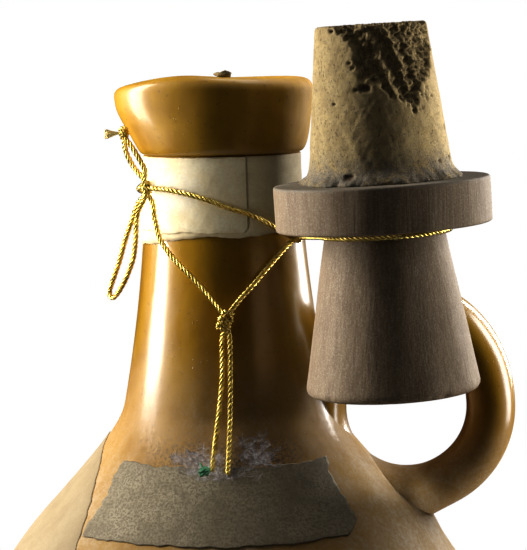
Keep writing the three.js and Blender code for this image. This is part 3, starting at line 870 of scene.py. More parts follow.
@dataclass
class Jug:
    """The stoneware body: foot, belly, shoulder, neck and spouted lip."""

    foot_radius: float = 41.0
    foot_ring: float = 8.0
    foot_recess: float = 2.5
    foot_edge: float = 1.2
    belly_radius: float = 60.0
    belly_height: float = 56.0
    shoulder_radius: float = 36.5
    shoulder_rise: float = 58.4
    shoulder_angle: float = 43.0
    neck_foot_radius: float = 20.6
    neck_foot_rise: float = 21.6
    flare_angle: float = 11.0
    neck_radius: float = 15.45
    neck_length: float = 49.0
    lip_radius: float = 18.4
    lip_height: float = 15.0
    lip_roll: float = 2.6
    mouth_roll: float = 5.0
    wall: float = 3.6
    floor: float = 4.5
    spout_reach: float = 2.75
    spout_droop: float = 2.2
    spout_spread: float = 75.0
    rim_tilt: float = 0.55
    rim_saddle: float = 0.3
    throwing_marks: float = 0.16
    marks_start: tuple[float, float] = (3.0, 12.0)
    marks_stop: tuple[float, float] = (88.0, 97.0)
    lip_marks: tuple[float, float] = (186.0, 192.0)
    luting_swell: float = 1.7
    luting_height: float = 112.5
    luting_half_width: float = 6.5
    luting_half_height: float = 4.2
    handle_side: float = 30.0
    segments: int = 200
    outline: np.ndarray = field(init=False)

    def __post_init__(self) -> None:
        """Draw the outline once."""
        self.outline = self._outline()

    @property
    def neck_foot(self) -> float:
        """Height where the neck starts."""
        return self.belly_height + self.shoulder_rise + self.neck_foot_rise

    @property
    def neck_top(self) -> float:
        """Height where the lip starts."""
        return self.neck_foot + self.neck_length

    @property
    def rim(self) -> float:
        """Height of the rim."""
        return self.neck_top + self.lip_height

    def _outline(self) -> np.ndarray:
        """Outside of the jug from the foot to the roll of the lip.

        Returns:
            Radius and height of each point.
        """
        angle, flare = math.radians(self.shoulder_angle), math.radians(self.flare_angle)
        slope = np.array([math.sin(angle), -math.cos(angle)])
        taper = np.array([math.sin(flare), -math.cos(flare)])
        shoulder = np.array([self.shoulder_radius, self.belly_height + self.shoulder_rise])
        neck = np.array([self.neck_foot_radius, self.neck_foot])
        lip = np.array([self.neck_radius, self.neck_top])
        reach, ease_in = 0.37 * self.shoulder_rise, 0.33 * self.neck_length
        over, rise = self.lip_radius - self.neck_radius, self.lip_height - self.lip_roll
        foot, belly = self.foot_radius, (self.belly_radius, self.belly_height)
        runs = [
            bezier([(foot - self.foot_edge, 0), (foot, 0),
                    (foot + self.foot_edge / 2, self.foot_edge)], 6),
            bezier([(foot + self.foot_edge / 2, self.foot_edge),
                    ((foot + belly[0]) / 2, 0.3 * belly[1]), (belly[0], 0.64 * belly[1]),
                    belly], 20),
            bezier([belly, (belly[0], belly[1] + reach), shoulder + slope * reach, shoulder], 30),
            bezier([shoulder, shoulder - slope * 0.95 * self.neck_foot_rise,
                    neck + taper * 0.17 * self.neck_foot_rise, neck], 30),
            bezier([neck, neck - taper * ease_in, lip - (0, ease_in), lip], 40),
            bezier([lip, lip + (0.6 * over, 0.008 * rise), lip + (0.77 * over, 0.38 * rise),
                    (self.lip_radius, self.neck_top + rise)], 24),
        ]
        return np.vstack([runs[0], *(run[1:] for run in runs[1:])])

    def radius(self, height: np.ndarray | float) -> np.ndarray:
        """Outside radius at a height, without the spout."""
        return np.interp(height, self.outline[:, 1], self.outline[:, 0])

    def on(self, turn: float, height: float, lift: float) -> np.ndarray:
        """Point over the skin.

        Args:
            turn: degrees round the axis.
            height: the height.
            lift: the distance off the skin, level.

        Returns:
            The point.
        """
        radius = float(self.radius(height)) + lift
        angle = math.radians(turn)
        return np.array([radius * math.cos(angle), radius * math.sin(angle), height])

    def normals(self, points: np.ndarray) -> np.ndarray:
        """Outward normals of the skin at points near it.

        Args:
            points: the points.

        Returns:
            Unit vectors.
        """
        height = points[:, 2]
        slope = (self.radius(height + 0.3) - self.radius(height - 0.3)) / 0.6
        level = points[:, :2] / np.linalg.norm(points[:, :2], axis=1, keepdims=True)
        out = np.column_stack([level, -slope])
        return out / np.linalg.norm(out, axis=1, keepdims=True)

    def pulled(self, points: np.ndarray) -> np.ndarray:
        """Pull the spout out of the lip and let the rim wander.

        Args:
            points: points of the turned jug.

        Returns:
            The moved points.
        """
        turn = np.degrees(np.arctan2(points[:, 1], points[:, 0])) % 360.0
        away = np.abs(turn - 180.0)
        share = np.where(away < self.spout_spread,
                         np.cos(away / self.spout_spread * math.pi / 2) ** 2, 0.0)
        rise = np.clip((points[:, 2] - self.neck_top) / self.lip_height, 0.0, 1.0)
        radius = np.maximum(np.linalg.norm(points[:, :2], axis=1), TINY)
        stretch = 1.0 + self.spout_reach * share * ease(rise, 0.02, 0.72) / radius
        wander = (self.rim_tilt * np.cos(np.radians(turn - 200.0))
                  - self.rim_saddle * np.cos(np.radians(2.0 * (turn - 300.0))))
        moved = points.copy()
        moved[:, :2] *= stretch[:, None]
        moved[:, 2] += (wander - self.spout_droop * share) * rise ** 2
        return moved

    def build(self, material: bpy.types.Material) -> bpy.types.Object:
        """Hollow body with its foot, wall and lip.

        Args:
            material: the glaze.

        Returns:
            The piece.
        """
        along = np.gradient(self.outline, axis=0)
        along /= np.linalg.norm(along, axis=1, keepdims=True)
        inside = self.outline + self.wall * np.column_stack([-along[:, 1], along[:, 0]])
        bore = self.neck_radius - self.wall
        floor = self.foot_recess + self.floor
        keep = (inside[:, 1] > floor + self.wall) & (inside[:, 1] < self.neck_top)
        inner = inside[keep][::-2]
        crown = (self.lip_radius + bore) / 2
        roll = np.vstack([
            bezier([(self.lip_radius, self.rim - self.lip_roll), (self.lip_radius, self.rim),
                    (crown, self.rim)], 10)[1:],
            bezier([(crown, self.rim), (bore, self.rim), (bore, self.rim - self.mouth_roll)], 12)[1:],
        ])
        recess = self.foot_radius - self.foot_ring
        lower = np.array([[0.0, self.foot_recess], [recess - self.foot_recess, self.foot_recess],
                          [recess, 0.0]])
        bowl = bezier([inner[-1], (inner[-1][0] - 0.4 * self.wall, floor),
                       (inner[-1][0] - 1.6 * self.wall, floor)], 6)[1:]
        outline = np.vstack([lower, self.outline, roll, [[bore, self.neck_top]], inner, bowl,
                             [[0.0, floor]]])
        points, faces = lathe(outline, self.segments)
        points = self.pulled(points)
        throw = self.throwing_marks * ripple(points * (1.0, 1.0, 0.6), size=46.0, seed=11, octaves=2)
        out = points[:, :2] / np.maximum(np.linalg.norm(points[:, :2], axis=1, keepdims=True), TINY)
        height, (near, far) = points[:, 2], self.marks_stop
        free = ease(height, *self.marks_start) * ease(-height, -far, -near)
        free = np.maximum(free, ease(height, *self.lip_marks))
        points[:, :2] += out * (throw * free)[:, None]
        aside = points[:, 1] / self.luting_half_width
        above = (points[:, 2] - self.luting_height) / self.luting_half_height
        luting = np.exp(-aside ** 2 - above ** 2)
        points[:, 0] += self.luting_swell * luting * (points[:, 0] > self.handle_side)
        piece = mesh_object("stoneware_body", points, faces, material)
        return dress(piece, Body.BOTTLE, Slot.GLAZE, "jug_body")


@dataclass
class RingHandle:
    """Pulled clay ring, smoothed into the neck and the shoulder."""

    jug: Jug
    offset: float = 35.9
    drop: float = 3.2
    half_width: float = 17.0
    rise: float = 21.0
    fall: float = 16.9
    thickness: float = 9.8
    breadth: float = 10.4
    flare: float = 0.38
    flare_reach: float = 5.0

    def build(self, material: bpy.types.Material) -> bpy.types.Object:
        """Tube along an egg-shaped loop, with roots that sink into the wall.

        Args:
            material: the glaze.

        Returns:
            The piece.
        """
        steps, sides = 180, 40
        angle = np.linspace(math.pi, -math.pi, steps, endpoint=False)
        tall = np.where(angle > 0.0, self.rise, self.fall)
        x = self.offset + self.half_width * np.cos(angle)
        z = self.jug.neck_foot - self.drop + tall * np.sin(angle)
        normal = np.column_stack([tall * np.cos(angle), self.half_width * np.sin(angle)])
        normal /= np.linalg.norm(normal, axis=1, keepdims=True)
        clear = np.maximum(0.0, x - self.jug.radius(z))
        swell = (1.0 + self.flare * np.exp(-(clear / self.flare_reach) ** 2))[:, None]
        round_ = np.linspace(0.0, 2.0 * math.pi, sides, endpoint=False)
        out = 0.5 * self.thickness * np.where(np.cos(round_) > 0.0, swell, 1.0) * np.cos(round_)
        across = 0.5 * self.breadth * swell * np.sin(round_)
        points = np.stack([x[:, None] + normal[:, :1] * out, across,
                           z[:, None] + normal[:, 1:] * out], -1).reshape(-1, 3)
        points += 0.14 * ripple(points, size=17.0, seed=5, octaves=2)[:, None] * (0.3, 1.0, 0.3)
        faces = grid_faces(steps, sides, True)
        start = (steps - 1) * sides
        for side in range(sides):
            after = (side + 1) % sides
            faces.append((start + side, start + after, after, side))
        piece = mesh_object("clay_ring", points, [f[::-1] for f in faces], material)
        return dress(piece, Body.BOTTLE, Slot.GLAZE, "loop_handle")


@dataclass
class Papers:
    """Bare paper pasted on the jug: a band, a label over it and two shoulder labels."""

    jug: Jug
    paper: float = 0.12
    paste: float = 0.06
    band_height: float = 15.4
    band_drop: float = 0.2
    neck_left: float = -98.0
    neck_right: float = 18.0
    band_sag: float = 2.1
    neck_height: float = 14.8
    front_drop: float = 9.6
    front_height: float = 12.6
    front_top: float = 38.6
    front_bottom: float = 52.0
    front_shift: float = 1.5
    side_drop: float = 7.0
    side_arch: float = 26.0
    side_height: float = 40.0
    side_width: float = 68.0

    def _sheet(self, name: str, flat: np.ndarray, rows: int, lift: float,
               material: bpy.types.Material, wrap: bool = False) -> bpy.types.Object:
        """Thick sheet from points near the skin.

        Args:
            name: the piece's name.
            flat: points on the skin, row after row from the bottom.
            rows: the number of rows.
            lift: the paper's distance off the skin.
            material: the paper.
            wrap: whether the sheet goes all round.

        Returns:
            The piece.
        """
        columns = len(flat) // rows
        out = self.jug.normals(flat)
        cockle = np.clip(0.04 + 0.03 * ripple(flat, size=9.0, seed=7, octaves=4), 0.0, 0.1)[:, None]
        back = flat + out * (lift + cockle)
        face = back + out * self.paper
        faces: list[Sequence[int]] = [f[::-1] for f in grid_faces(rows, columns, wrap)]
        front = [tuple(len(flat) + corner for corner in f[::-1]) for f in faces]
        rim = self._rim(rows, columns, wrap)
        walls = [(a, b, b + len(flat), a + len(flat)) for loop in rim
                 for a, b in zip(loop, loop[1:] + loop[:1])]
        uv = np.tile(np.column_stack(sheet_grid(rows, columns)), (2, 1))
        return mesh_object(name, np.vstack([back, face]), [*faces, *front, *walls], material, uv)

    @staticmethod
    def _rim(rows: int, columns: int, wrap: bool) -> list[list[int]]:
        """Point numbers round a sheet's edge, counter-clockwise seen from outside.

        Args:
            rows: the sheet's rows.
            columns: its columns.
            wrap: whether it goes all round.

        Returns:
            One loop, or two for a band.
        """
        bottom = list(range(columns))
        top = list(range((rows - 1) * columns, rows * columns))
        if wrap:
            return [bottom, top[::-1]]
        right = [row * columns + columns - 1 for row in range(1, rows - 1)]
        left = [row * columns for row in range(rows - 2, 0, -1)]
        return [bottom + right + top[::-1] + left]

    def _front_points(self, x: np.ndarray, z: np.ndarray) -> np.ndarray:
        """Points on the front of the skin at sideways places and heights."""
        radius = self.jug.radius(z)
        return np.column_stack([x, -np.sqrt(np.maximum(radius ** 2 - x ** 2, 1.0)), z])

    def band(self, material: bpy.types.Material) -> bpy.types.Object:
        """Strip round the top of the neck with a worn lower edge.

        Args:
            material: the paper.

        Returns:
            The piece.
        """
        rows, columns = 24, 220
        top = self.jug.neck_top - self.band_drop
        turn = np.tile(np.linspace(0.0, 2.0 * math.pi, columns, endpoint=False), rows)
        share = np.repeat(np.linspace(0.0, 1.0, rows), columns)
        ring = np.column_stack([np.cos(turn), np.sin(turn)]) * 15.0
        torn = 0.25 * ripple(ring, size=12.0, seed=3, octaves=5) * (1.0 - share)
        sag = self.band_sag * np.maximum(0.0, -np.cos(turn)) ** 2.5
        z = top - (self.band_height + sag) * (1.0 - share) + torn
        radius = self.jug.radius(z)
        flat = np.column_stack([radius * np.cos(turn), radius * np.sin(turn), z])
        piece = self._sheet("paper_band", flat, rows, self.paste, material, True)
        return dress(piece, Body.BOTTLE, Slot.PAPER, "neck_band")

    def neck(self, material: bpy.types.Material) -> bpy.types.Object:
        """Brighter label over the band, with a torn top and a round lower corner.

        Args:
            material: the paper.

        Returns:
            The piece.
        """
        rows, columns = 60, 110
        top = self.jug.neck_top - self.band_drop - 0.15
        u, v = sheet_grid(rows, columns)
        start, stop = math.radians(self.neck_left), math.radians(self.neck_right)
        worn = 0.22 * ripple(np.column_stack([u * 20.0, v * 14.0]), size=5.0, seed=8, octaves=5)
        corner = 0.9 * np.clip(1.0 - v / 0.09, 0.0, 1.0) ** 2
        turn = start + (stop - start) * u - corner * (u > 0.5) * u ** 8 / 16.0
        z = top - (self.neck_height - 0.3) * (1.0 - v)
        z = z + worn * (np.abs(v - 0.5) * 2.0) ** 6 * 0.9
        radius = self.jug.radius(z)
        flat = np.column_stack([radius * np.sin(turn), -radius * np.cos(turn), z])
        piece = self._sheet("neck_paper", flat, rows, 2 * self.paste + self.paper, material)
        return dress(piece, Body.BOTTLE, Slot.PAPER, "neck_label")

    def front(self, material: bpy.types.Material) -> bpy.types.Object:
        """Fan-shaped label on the front of the shoulder.

        Args:
            material: the paper.

        Returns:
            The piece.
        """
        rows, columns = 70, 150
        top = self.jug.neck_foot - self.front_drop
        u, v = sheet_grid(rows, columns)
        worn = ripple(np.column_stack([u * 50.0, v * 13.0]), size=7.0, seed=21, octaves=5)
        half = 0.5 * (self.front_bottom + (self.front_top - self.front_bottom) * v)
        shift = self.front_shift * (1.0 - 0.5 * v)
        x = (2.0 * u - 1.0) * half - shift + 0.35 * worn * np.abs(2.0 * u - 1.0) ** 12
        corner = 2.2 * np.maximum(0.0, 1.0 - (1.0 - u) / 0.05) ** 2 * (v < 0.5)
        z = top - self.front_height * (1.0 - v)
        z = z + 0.2 * worn * np.abs(2.0 * v - 1.0) ** 10 + corner * (1.0 - 2.0 * v).clip(0.0)
        flat = self._front_points(x, z)
        piece = self._sheet("shoulder_paper", flat, rows, self.paste, material)
        return dress(piece, Body.BOTTLE, Slot.STAINED, "front_label")

    def side(self, material: bpy.types.Material) -> bpy.types.Object:
        """Arched label on the left flank.

        Args:
            material: the paper.

        Returns:
            The piece.
        """
        rows, columns = 70, 120
        top = self.jug.neck_foot - self.side_drop
        low = top - self.side_height
        half = self.side_width / 2
        haunch = top - 0.115 * self.side_arch
        arch = bezier([(-half, top - self.side_arch), (-0.44 * half, haunch), (0.0, top)], 60)
        spring = np.vstack([arch, (arch * (-1.0, 1.0))[::-1][1:]])
        u = np.tile(np.linspace(-half, half, columns), rows)
        v = np.repeat(np.linspace(0.0, 1.0, rows), columns)
        crown = np.interp(u, spring[:, 0], spring[:, 1])
        z = low + (crown - low) * v
        worn = ripple(np.column_stack([u, z]), size=7.0, seed=31, octaves=5)
        z = z + 0.2 * worn * np.abs(2.0 * v - 1.0) ** 10
        radius = self.jug.radius(z)
        away = np.sqrt(np.maximum(radius ** 2 - u ** 2, 1.0))
        flat = np.column_stack([-away, -u, z])
        piece = self._sheet("flank_paper", flat, rows, self.paste, material)
        piece.visible_shadow = False
        return dress(piece, Body.BOTTLE, Slot.PAPER, "side_label")

    def build(self, neck: PaperFinish, band: PaperFinish, front: PaperFinish,
              side: PaperFinish) -> None:
        """All four papers.

        Args:
            neck: the neck label's finish.
            band: the band's finish.
            front: the front label's finish.
            side: the flank label's finish.
        """
        self.band(band.material())
        self.neck(neck.material())
        self.front(front.material())
        self.side(side.material())


@dataclass
class Stopper:
    """Turned wood head with a broken, dusty cork, hung upside down beside the neck."""

    place: Point = (30.25, -29.52, 170.95)
    lean: float = 2.45
    underside: float = 0.7
    flange_radius: float = 20.1
    flange_thickness: float = 8.85
    knob_neck: float = 11.05
    knob_end: float = 16.65
    knob_length: float = 30.45
    knob_edge: float = 1.8
    cork_root: float = 13.5
    cork_tip: float = 10.2
    cork_length: float = 28.4
    gap: float = 0.3
    flange_edge: float = 0.55
    flange_lift: float = 0.4
    cork_edge: float = 0.7
    cork_shift: float = 0.36
    dirt_heap: float = 1.7

    BREAK_START = ((0, -140), (4, -119), (8.7, -107), (11, -99), (12.5, -84), (14.4, -71), (17, -58))
    BREAK_STOP = ((0, 0), (8, -17), (11, -38), (14.4, -46), (17, -58))
    HOLES = ((-102.0, 11.5, 1.9, 0.7), (-110.0, 11.7, 0.8, 0.4), (-116.0, 6.8, 0.7, 0.35),
             (-133.0, 14.0, 0.8, 0.4), (-118.0, 27.2, 1.6, 0.7), (-12.0, 19.5, 1.5, 0.5),
             (-34.0, 13.6, 0.6, 0.3), (-18.0, 25.0, 1.1, 0.4), (-38.0, 25.4, 0.8, 0.3),
             (-137.0, 1.0, 1.0, 0.5), (40.0, 9.0, 2.4, 0.8), (110.0, 18.0, 2.0, 0.7),
             (165.0, 8.0, 1.6, 0.6), (75.0, 21.0, 1.3, 0.5))

    @property
    def turn(self) -> np.ndarray:
        """Rotation from the stopper's own frame to the bottle's."""
        return np.array(Matrix.Rotation(-math.radians(self.lean), 3, "Y"))

    @property
    def taper(self) -> float:
        """Growth of the knob's radius per millimetre below the flange."""
        return (self.knob_end - self.knob_neck) / self.knob_length

    def stood(self, points: np.ndarray) -> np.ndarray:
        """Points of the stopper's own frame in the bottle's."""
        return (points + (0.0, 0.0, self.underside)) @ self.turn.T + self.place

    def head(self, material: bpy.types.Material) -> bpy.types.Object:
        """Flange and tapered knob with worn edges.

        Args:
            material: the wood.

        Returns:
            The piece.
        """
        edge, top, rim = self.flange_edge, self.flange_thickness, self.flange_radius
        low, end = -self.knob_length, self.knob_end - self.knob_edge
        lip = self.knob_end - self.taper * self.knob_edge
        outline = np.vstack([
            straight((0.0, low), (end, low), 10),
            bezier([(end, low), (self.knob_end, low), (lip, low + self.knob_edge)], 8)[1:],
            straight((lip, low + self.knob_edge), (self.knob_neck, 0.0), 60)[1:],
            straight((self.knob_neck, 0.0), (rim - edge, 0.0), 12)[1:],
            bezier([(rim - edge, 0.0), (rim, 0.0), (rim, edge)], 6)[1:],
            straight((rim, edge), (rim, top - edge), 20)[1:],
            bezier([(rim, top - edge), (rim, top), (rim - edge, top)], 6)[1:],
            straight((rim - edge, top), (0.0, top), 16)[1:],
        ])
        points, faces = lathe(outline, 180)
        worn = 0.10 * ripple(points * (1.0, 1.0, 0.5), size=22.0, seed=41, octaves=3)
        chip = np.maximum(0.0, ripple(points, size=7.0, seed=43, octaves=4) - 0.55)
        radius = np.linalg.norm(points[:, :2], axis=1)
        foot = np.exp(-((points[:, 2] - low) / 1.4) ** 2) * ease(radius, 12.0, 15.0)
        inward = worn - 0.10 - chip * 0.6 * foot
        free = ease(radius, 6.0, 11.0)
        points[:, :2] *= (1.0 + inward * free / np.maximum(radius, 1.0))[:, None]
        under = ease(radius, self.knob_neck + 0.4, self.knob_neck + 1.6) * (points[:, 2] > -0.01)
        points[:, 2] += self.flange_lift * under * np.clip(1.0 - points[:, 2] / 4.0, 0.0, 1.0)
        piece = mesh_object("turned_head", self.stood(points), faces, material)
        return dress(piece, Body.STOPPER, Slot.WOOD, "stopper_head")

    def cork(self, material: bpy.types.Material) -> bpy.types.Object:
        """Tapered cork with pits, a dirty root and a broken corner.

        Args:
            material: the cork.

        Returns:
            The piece.
        """
        seat = self.flange_thickness + 0.02
        tip = self.flange_thickness + self.gap + self.cork_length
        edge, brow = self.cork_edge, self.cork_tip + 0.1
        outline = np.vstack([
            [[0.0, seat]],
            straight((6.0, seat), (self.cork_root, seat), 6),
            straight((self.cork_root, seat), (brow, tip - edge), 130)[1:],
            bezier([(brow, tip - edge), (self.cork_tip, tip), (self.cork_tip - edge, tip)], 6)[1:],
            straight((self.cork_tip - edge, tip), (0.4, tip), 36)[1:],
            [[0.0, tip]],
        ])
        points, faces = lathe(outline, 300)
        radius = np.linalg.norm(points[:, :2], axis=1)
        way = points[:, :2] / np.maximum(radius, TINY)[:, None]
        turn = np.degrees(np.arctan2(points[:, 1], points[:, 0]))
        down = tip - points[:, 2]
        ragged = ripple(points, size=7.0, seed=61, octaves=5)
        crumbs = ripple(points, size=3.0, seed=67, octaves=4)
        side = ease(radius, 8.0, 9.8)
        start = np.interp(down, *np.array(self.BREAK_START).T)
        stop = np.interp(down, *np.array(self.BREAK_STOP).T)
        inside = np.minimum(turn - start, stop - turn) + 9.0 * ragged
        broken = ease(inside, 0.0, 9.0) * ease(radius, 3.0, 7.5) * ease(-down, -17.5, -15.5)
        depth = broken * (1.1 + 0.7 * crumbs) * ease(down, -1.0, 0.5)
        spots = self._pits(turn, down)
        grain = 0.04 * (1.0 + crumbs)
        heap = self.dirt_heap * np.exp(-((points[:, 2] - seat) / 1.5) ** 2) * (1.0 + 0.35 * ragged)
        shift = heap * side - np.minimum(depth + (spots + grain) * side, 0.6 * radius)
        points[:, :2] += way * shift[:, None]
        points[:, 2] -= broken * (0.5 + 0.6 * crumbs).clip(0.0) * np.exp(-(down / 0.8) ** 2)
        points[:, 0] -= self.cork_shift * (points[:, 2] - seat) / (tip - seat)
        dirt = np.exp(-((points[:, 2] - seat) / 4.0) ** 2) + 0.16
        piece = mesh_object("cork_taper", self.stood(points), faces, material)
        # hole_shade holds the holes' depth, used to paint shade in them
        for name, values in (("broken", broken), ("hole_shade", np.clip(1.6 * spots, 0, 1)), ("dirt", dirt)):
            layer = piece.data.attributes.new(name, "FLOAT", "POINT")
            layer.data.foreach_set("value", values.astype(np.float32))
        return dress(piece, Body.STOPPER, Slot.CORK, "cork_plug")

    def _pits(self, turn: np.ndarray, down: np.ndarray) -> np.ndarray:
        """Separate holes in the cork's side.

        Args:
            turn: degrees round the cork.
            down: depth below its tip.

        Returns:
            Depth in millimetres.
        """
        depth = np.zeros_like(turn)
        for place, drop, wide, deep in self.HOLES:
            aside = ((turn - place + 180.0) % 360.0 - 180.0) / (2.6 * wide)
            depth += deep * np.exp(-(aside ** 4) - ((down - drop) / (0.34 * wide)) ** 4)
        return depth

    def build(self, wood: WoodFinish, cork: CorkFinish) -> None:
        """Head and cork."""
        for piece in (self.head(wood.material()), self.cork(cork.material())):
            piece.visible_diffuse = False


@dataclass
class CordWork:
    """Twisted gold cord: collar, V, tails, spare loop and the stopper's sling, with their knots."""

    jug: Jug
    stopper: Stopper
    diameter: float = 1.05
    lift: float = 1.1
    lay: float = 3.1
    strands: int = 3
    step: float = 0.3
    twist: ModifierTree = field(default_factory=twisted_cord_tree)
    gold: bpy.types.Material | None = None
    green: bpy.types.Material | None = None
    loose: bpy.types.Material | None = None

    SIDE_KNOT = (211.5, 6.2)
    FRONT_KNOT = (270.2, 31.3)
    SLING_KNOT = (321.6, 16.3)
    SIDE_LIFT = 1.7
    FRONT_LIFT = 2.4
    SLING_LIFT = 2.1
    UNDER_SLING = 1.3
    SLING_STEPS = 41
    FRAYED_FIBRES = 60
    GREEN_THREADS = 16
    COLLAR_FRONT = ((224, 6.3), (233, 6.5), (248.1, 7.3), (262, 8.5), (274.1, 9.9), (288.8, 11.4),
                    (303.4, 13.6), (313, 15.4))
    COLLAR_BACK = ((330, 16.5), (350, 16.6), (375, 16.4), (400, 15.8), (425, 14.6), (450, 13),
                   (475, 11.2), (500, 9.4), (525, 7.8), (546, 6.7))
    V_LEFT = ((216, 9), (219, 12.2), (225.5, 16.2), (235.8, 19.3), (248.1, 22.5), (259, 25.9))
    V_RIGHT = ((280.5, 27.2), (287.1, 25.2), (300.4, 21.3), (312, 18.6))
    TAIL_LEFT = ((268.6, 34.8), (268.4, 41), (267, 46.6), (265.3, 51.8), (264.4, 56.1),
                 (264.1, 58.9))
    TAIL_RIGHT = ((272.8, 34.8), (272.7, 41), (272.2, 46.6), (271.5, 51.8), (270.8, 56.1),
                  (270.3, 59.4))
    BIGHT = ((-16.6, -6.6, 9.4), (-18, -5.7, 13), (-19.4, -5, 16.7), (-20.7, -4.8, 20.9),
             (-22, -4.8, 24.4), (-22.8, -5.2, 26.9), (-22.2, -6.4, 27.9), (-20.9, -7.7, 26.7),
             (-19.4, -8.1, 24.2), (-17.8, -8.4, 20.3), (-17.1, -8.8, 16.4), (-16.6, -8.9, 11.2))
    END_KNOT = (-18.9, -7.6, -4.5)
    END_FRONT = ((-14.9, -9.4, 2.6), (-16.3, -9.0, -0.1), (-17.5, -8.8, -2.1))
    END_BACK = ((-16, -7.9, 3.6), (-17.4, -6.4, 1.9), (-18.7, -6, -0.9))

    def neck(self, places: Sequence[tuple[float, float]], lift: float | None = None) -> list[np.ndarray]:
        """Points over the neck."""
        off = self.lift if lift is None else lift
        return [self.jug.on(turn, self.jug.neck_top - drop, off) for turn, drop in places]

    def free(self, places: Sequence[Point]) -> list[np.ndarray]:
        """Points from sideways places and drops below the neck's top."""
        return [np.array([x, y, self.jug.neck_top - drop]) for x, y, drop in places]

    def strand(self, name: str, body: Body, points: Sequence[np.ndarray],
               nodes: Sequence[str]) -> bpy.types.Object:
        """Twisted cord along a route.

        Args:
            name: the piece's name.
            body: the body that it rides on.
            points: the route.
            nodes: the solids that it replaces.

        Returns:
            The piece.
        """
        route = smooth_route(points, self.step)
        piece = self.twist.run(curve_object(name + "_line", [route]), name,
                               Diameter=self.diameter * MM, Lay=self.lay * MM,
                               Strands=self.strands, Material=self.gold)
        dress(piece, body, Slot.CORD, *nodes)
        return piece

    def knot(self, name: str, body: Body, middle: np.ndarray, radius: float, half: float,
             turns: float, tilt: float, nodes: Sequence[str]) -> bpy.types.Object:
        """Knot of tight turns that tuck under each other.

        Args:
            name: the piece's name.
            body: the body that it rides on.
            middle: its middle.
            radius: its outside radius.
            half: half its height.
            turns: how often the cord goes round.
            tilt: how far its turns lean, in degrees.
            nodes: the solids that it replaces.

        Returns:
            The piece.
        """
        t = np.linspace(0.0, 1.0, int(turns * 40))
        angle = 2.0 * math.pi * turns * t
        thick = 0.46 * self.diameter
        wide = (radius - thick) * (0.86 + 0.14 * np.cos(3.0 * angle + 0.7))
        wide *= np.sqrt(np.clip(1.0 - (0.75 * (2.0 * t - 1.0)) ** 2, 0.1, 1.0))
        rise = (half - thick) * (2.0 * t - 1.0) + 0.35 * np.sin(2.0 * angle)
        local = np.column_stack([wide * np.cos(angle), wide * np.sin(angle), rise])
        about = np.array(Matrix.Rotation(math.radians(tilt), 3, (middle[0], middle[1], 0.0)))
        route = local @ about.T + middle
        core = np.column_stack([0.25 * np.cos(3.0 * angle), 0.25 * np.sin(3.0 * angle), rise * 0.92])
        routes = [route, core @ about.T + middle]
        piece = self.twist.run(curve_object(name + "_line", routes), name,
                               Diameter=2.0 * thick * MM, Lay=0.8 * self.lay * MM,
                               Strands=self.strands, Material=self.gold)
        return dress(piece, body, Slot.CORD, *nodes)

    def fibres(self, name: str, routes: Sequence[np.ndarray], thick: float, slot: Slot,
               material: bpy.types.Material, nodes: Sequence[str]) -> bpy.types.Object:
        """Bundle of loose fibres on the collar.

        Args:
            name: the piece's name.
            routes: the fibres.
            thick: their thickness.
            slot: their material slot.
            material: their finish.
            nodes: the solids that they replace.

        Returns:
            The piece.
        """
        piece = self.twist.run(curve_object(name + "_line", routes), name, Diameter=thick * MM,
                               Lay=self.lay * MM, Strands=1, Material=material)
        piece.visible_shadow = False
        return dress(piece, Body.COLLAR, slot, *nodes)

    def frayed(self) -> bpy.types.Object:
        """Opened tip that sticks out past the end knot.

        Returns:
            The piece.
        """
        rng = np.random.default_rng(17)
        root = self.free([self.END_KNOT])[0] + (-0.7, 0.0, 0.0)
        routes = []
        for _ in range(self.FRAYED_FIBRES):
            aside = rng.uniform(-1.0, 1.0, 2) * (0.8, 0.9)
            far = rng.uniform(2.4, 3.0)
            bend = rng.normal(size=3) * 0.1
            tip = root + (-far, aside[0], aside[1] - 0.1)
            mid = root + (-0.55 * far, 0.35 * aside[0], 0.35 * aside[1]) + bend
            routes.append(bezier([root, mid, tip], 10))
        return self.fibres("frayed_tip", routes, 0.3, Slot.CORD, self.loose, ["frayed_end"])

    def green_scrap(self) -> bpy.types.Object:
        """Green threads beside the end of the left tail.

        Returns:
            The piece.
        """
        rng = np.random.default_rng(23)
        end = self.neck(self.TAIL_LEFT[-1:])[0]
        reach = math.degrees(1.0 / math.hypot(end[0], end[1]))
        height = self.jug.neck_top - end[2]
        routes = []
        for _ in range(self.GREEN_THREADS):
            places = [(self.TAIL_LEFT[-1][0] - reach * (0.6 + 0.55 * i) + rng.normal() * 0.4,
                       height + rng.normal() * 0.34 - 0.35 * (i == 0)) for i in range(4)]
            lifts = 1.3 + rng.normal() * 0.28
            routes.append(smooth_route(self.neck(places, lifts), 0.4))
        return self.fibres("green_scrap", routes, 0.42, Slot.GREEN, self.green, ["green_tip"])

    def sling_route(self, knot: np.ndarray) -> list[np.ndarray]:
        """Loop round the knob under the flange, from its knot and back.

        Args:
            knot: the sling knot's middle.

        Returns:
            The points.
        """
        s = self.stopper
        radius = s.knob_neck + s.taper * (self.diameter + s.gap) + s.gap + self.diameter / 2
        local = (knot - s.place) @ s.turn
        towards = math.atan2(local[1], local[0])
        opening = math.acos(radius / math.hypot(local[0], local[1]))
        angle = towards + np.linspace(opening, 2.0 * math.pi - opening, self.SLING_STEPS)
        ring = np.column_stack([radius * np.cos(angle), radius * np.sin(angle), 0.0 * angle])
        return [knot, *(ring @ s.turn.T + s.place), knot + (0.0, 0.0, 0.35)]

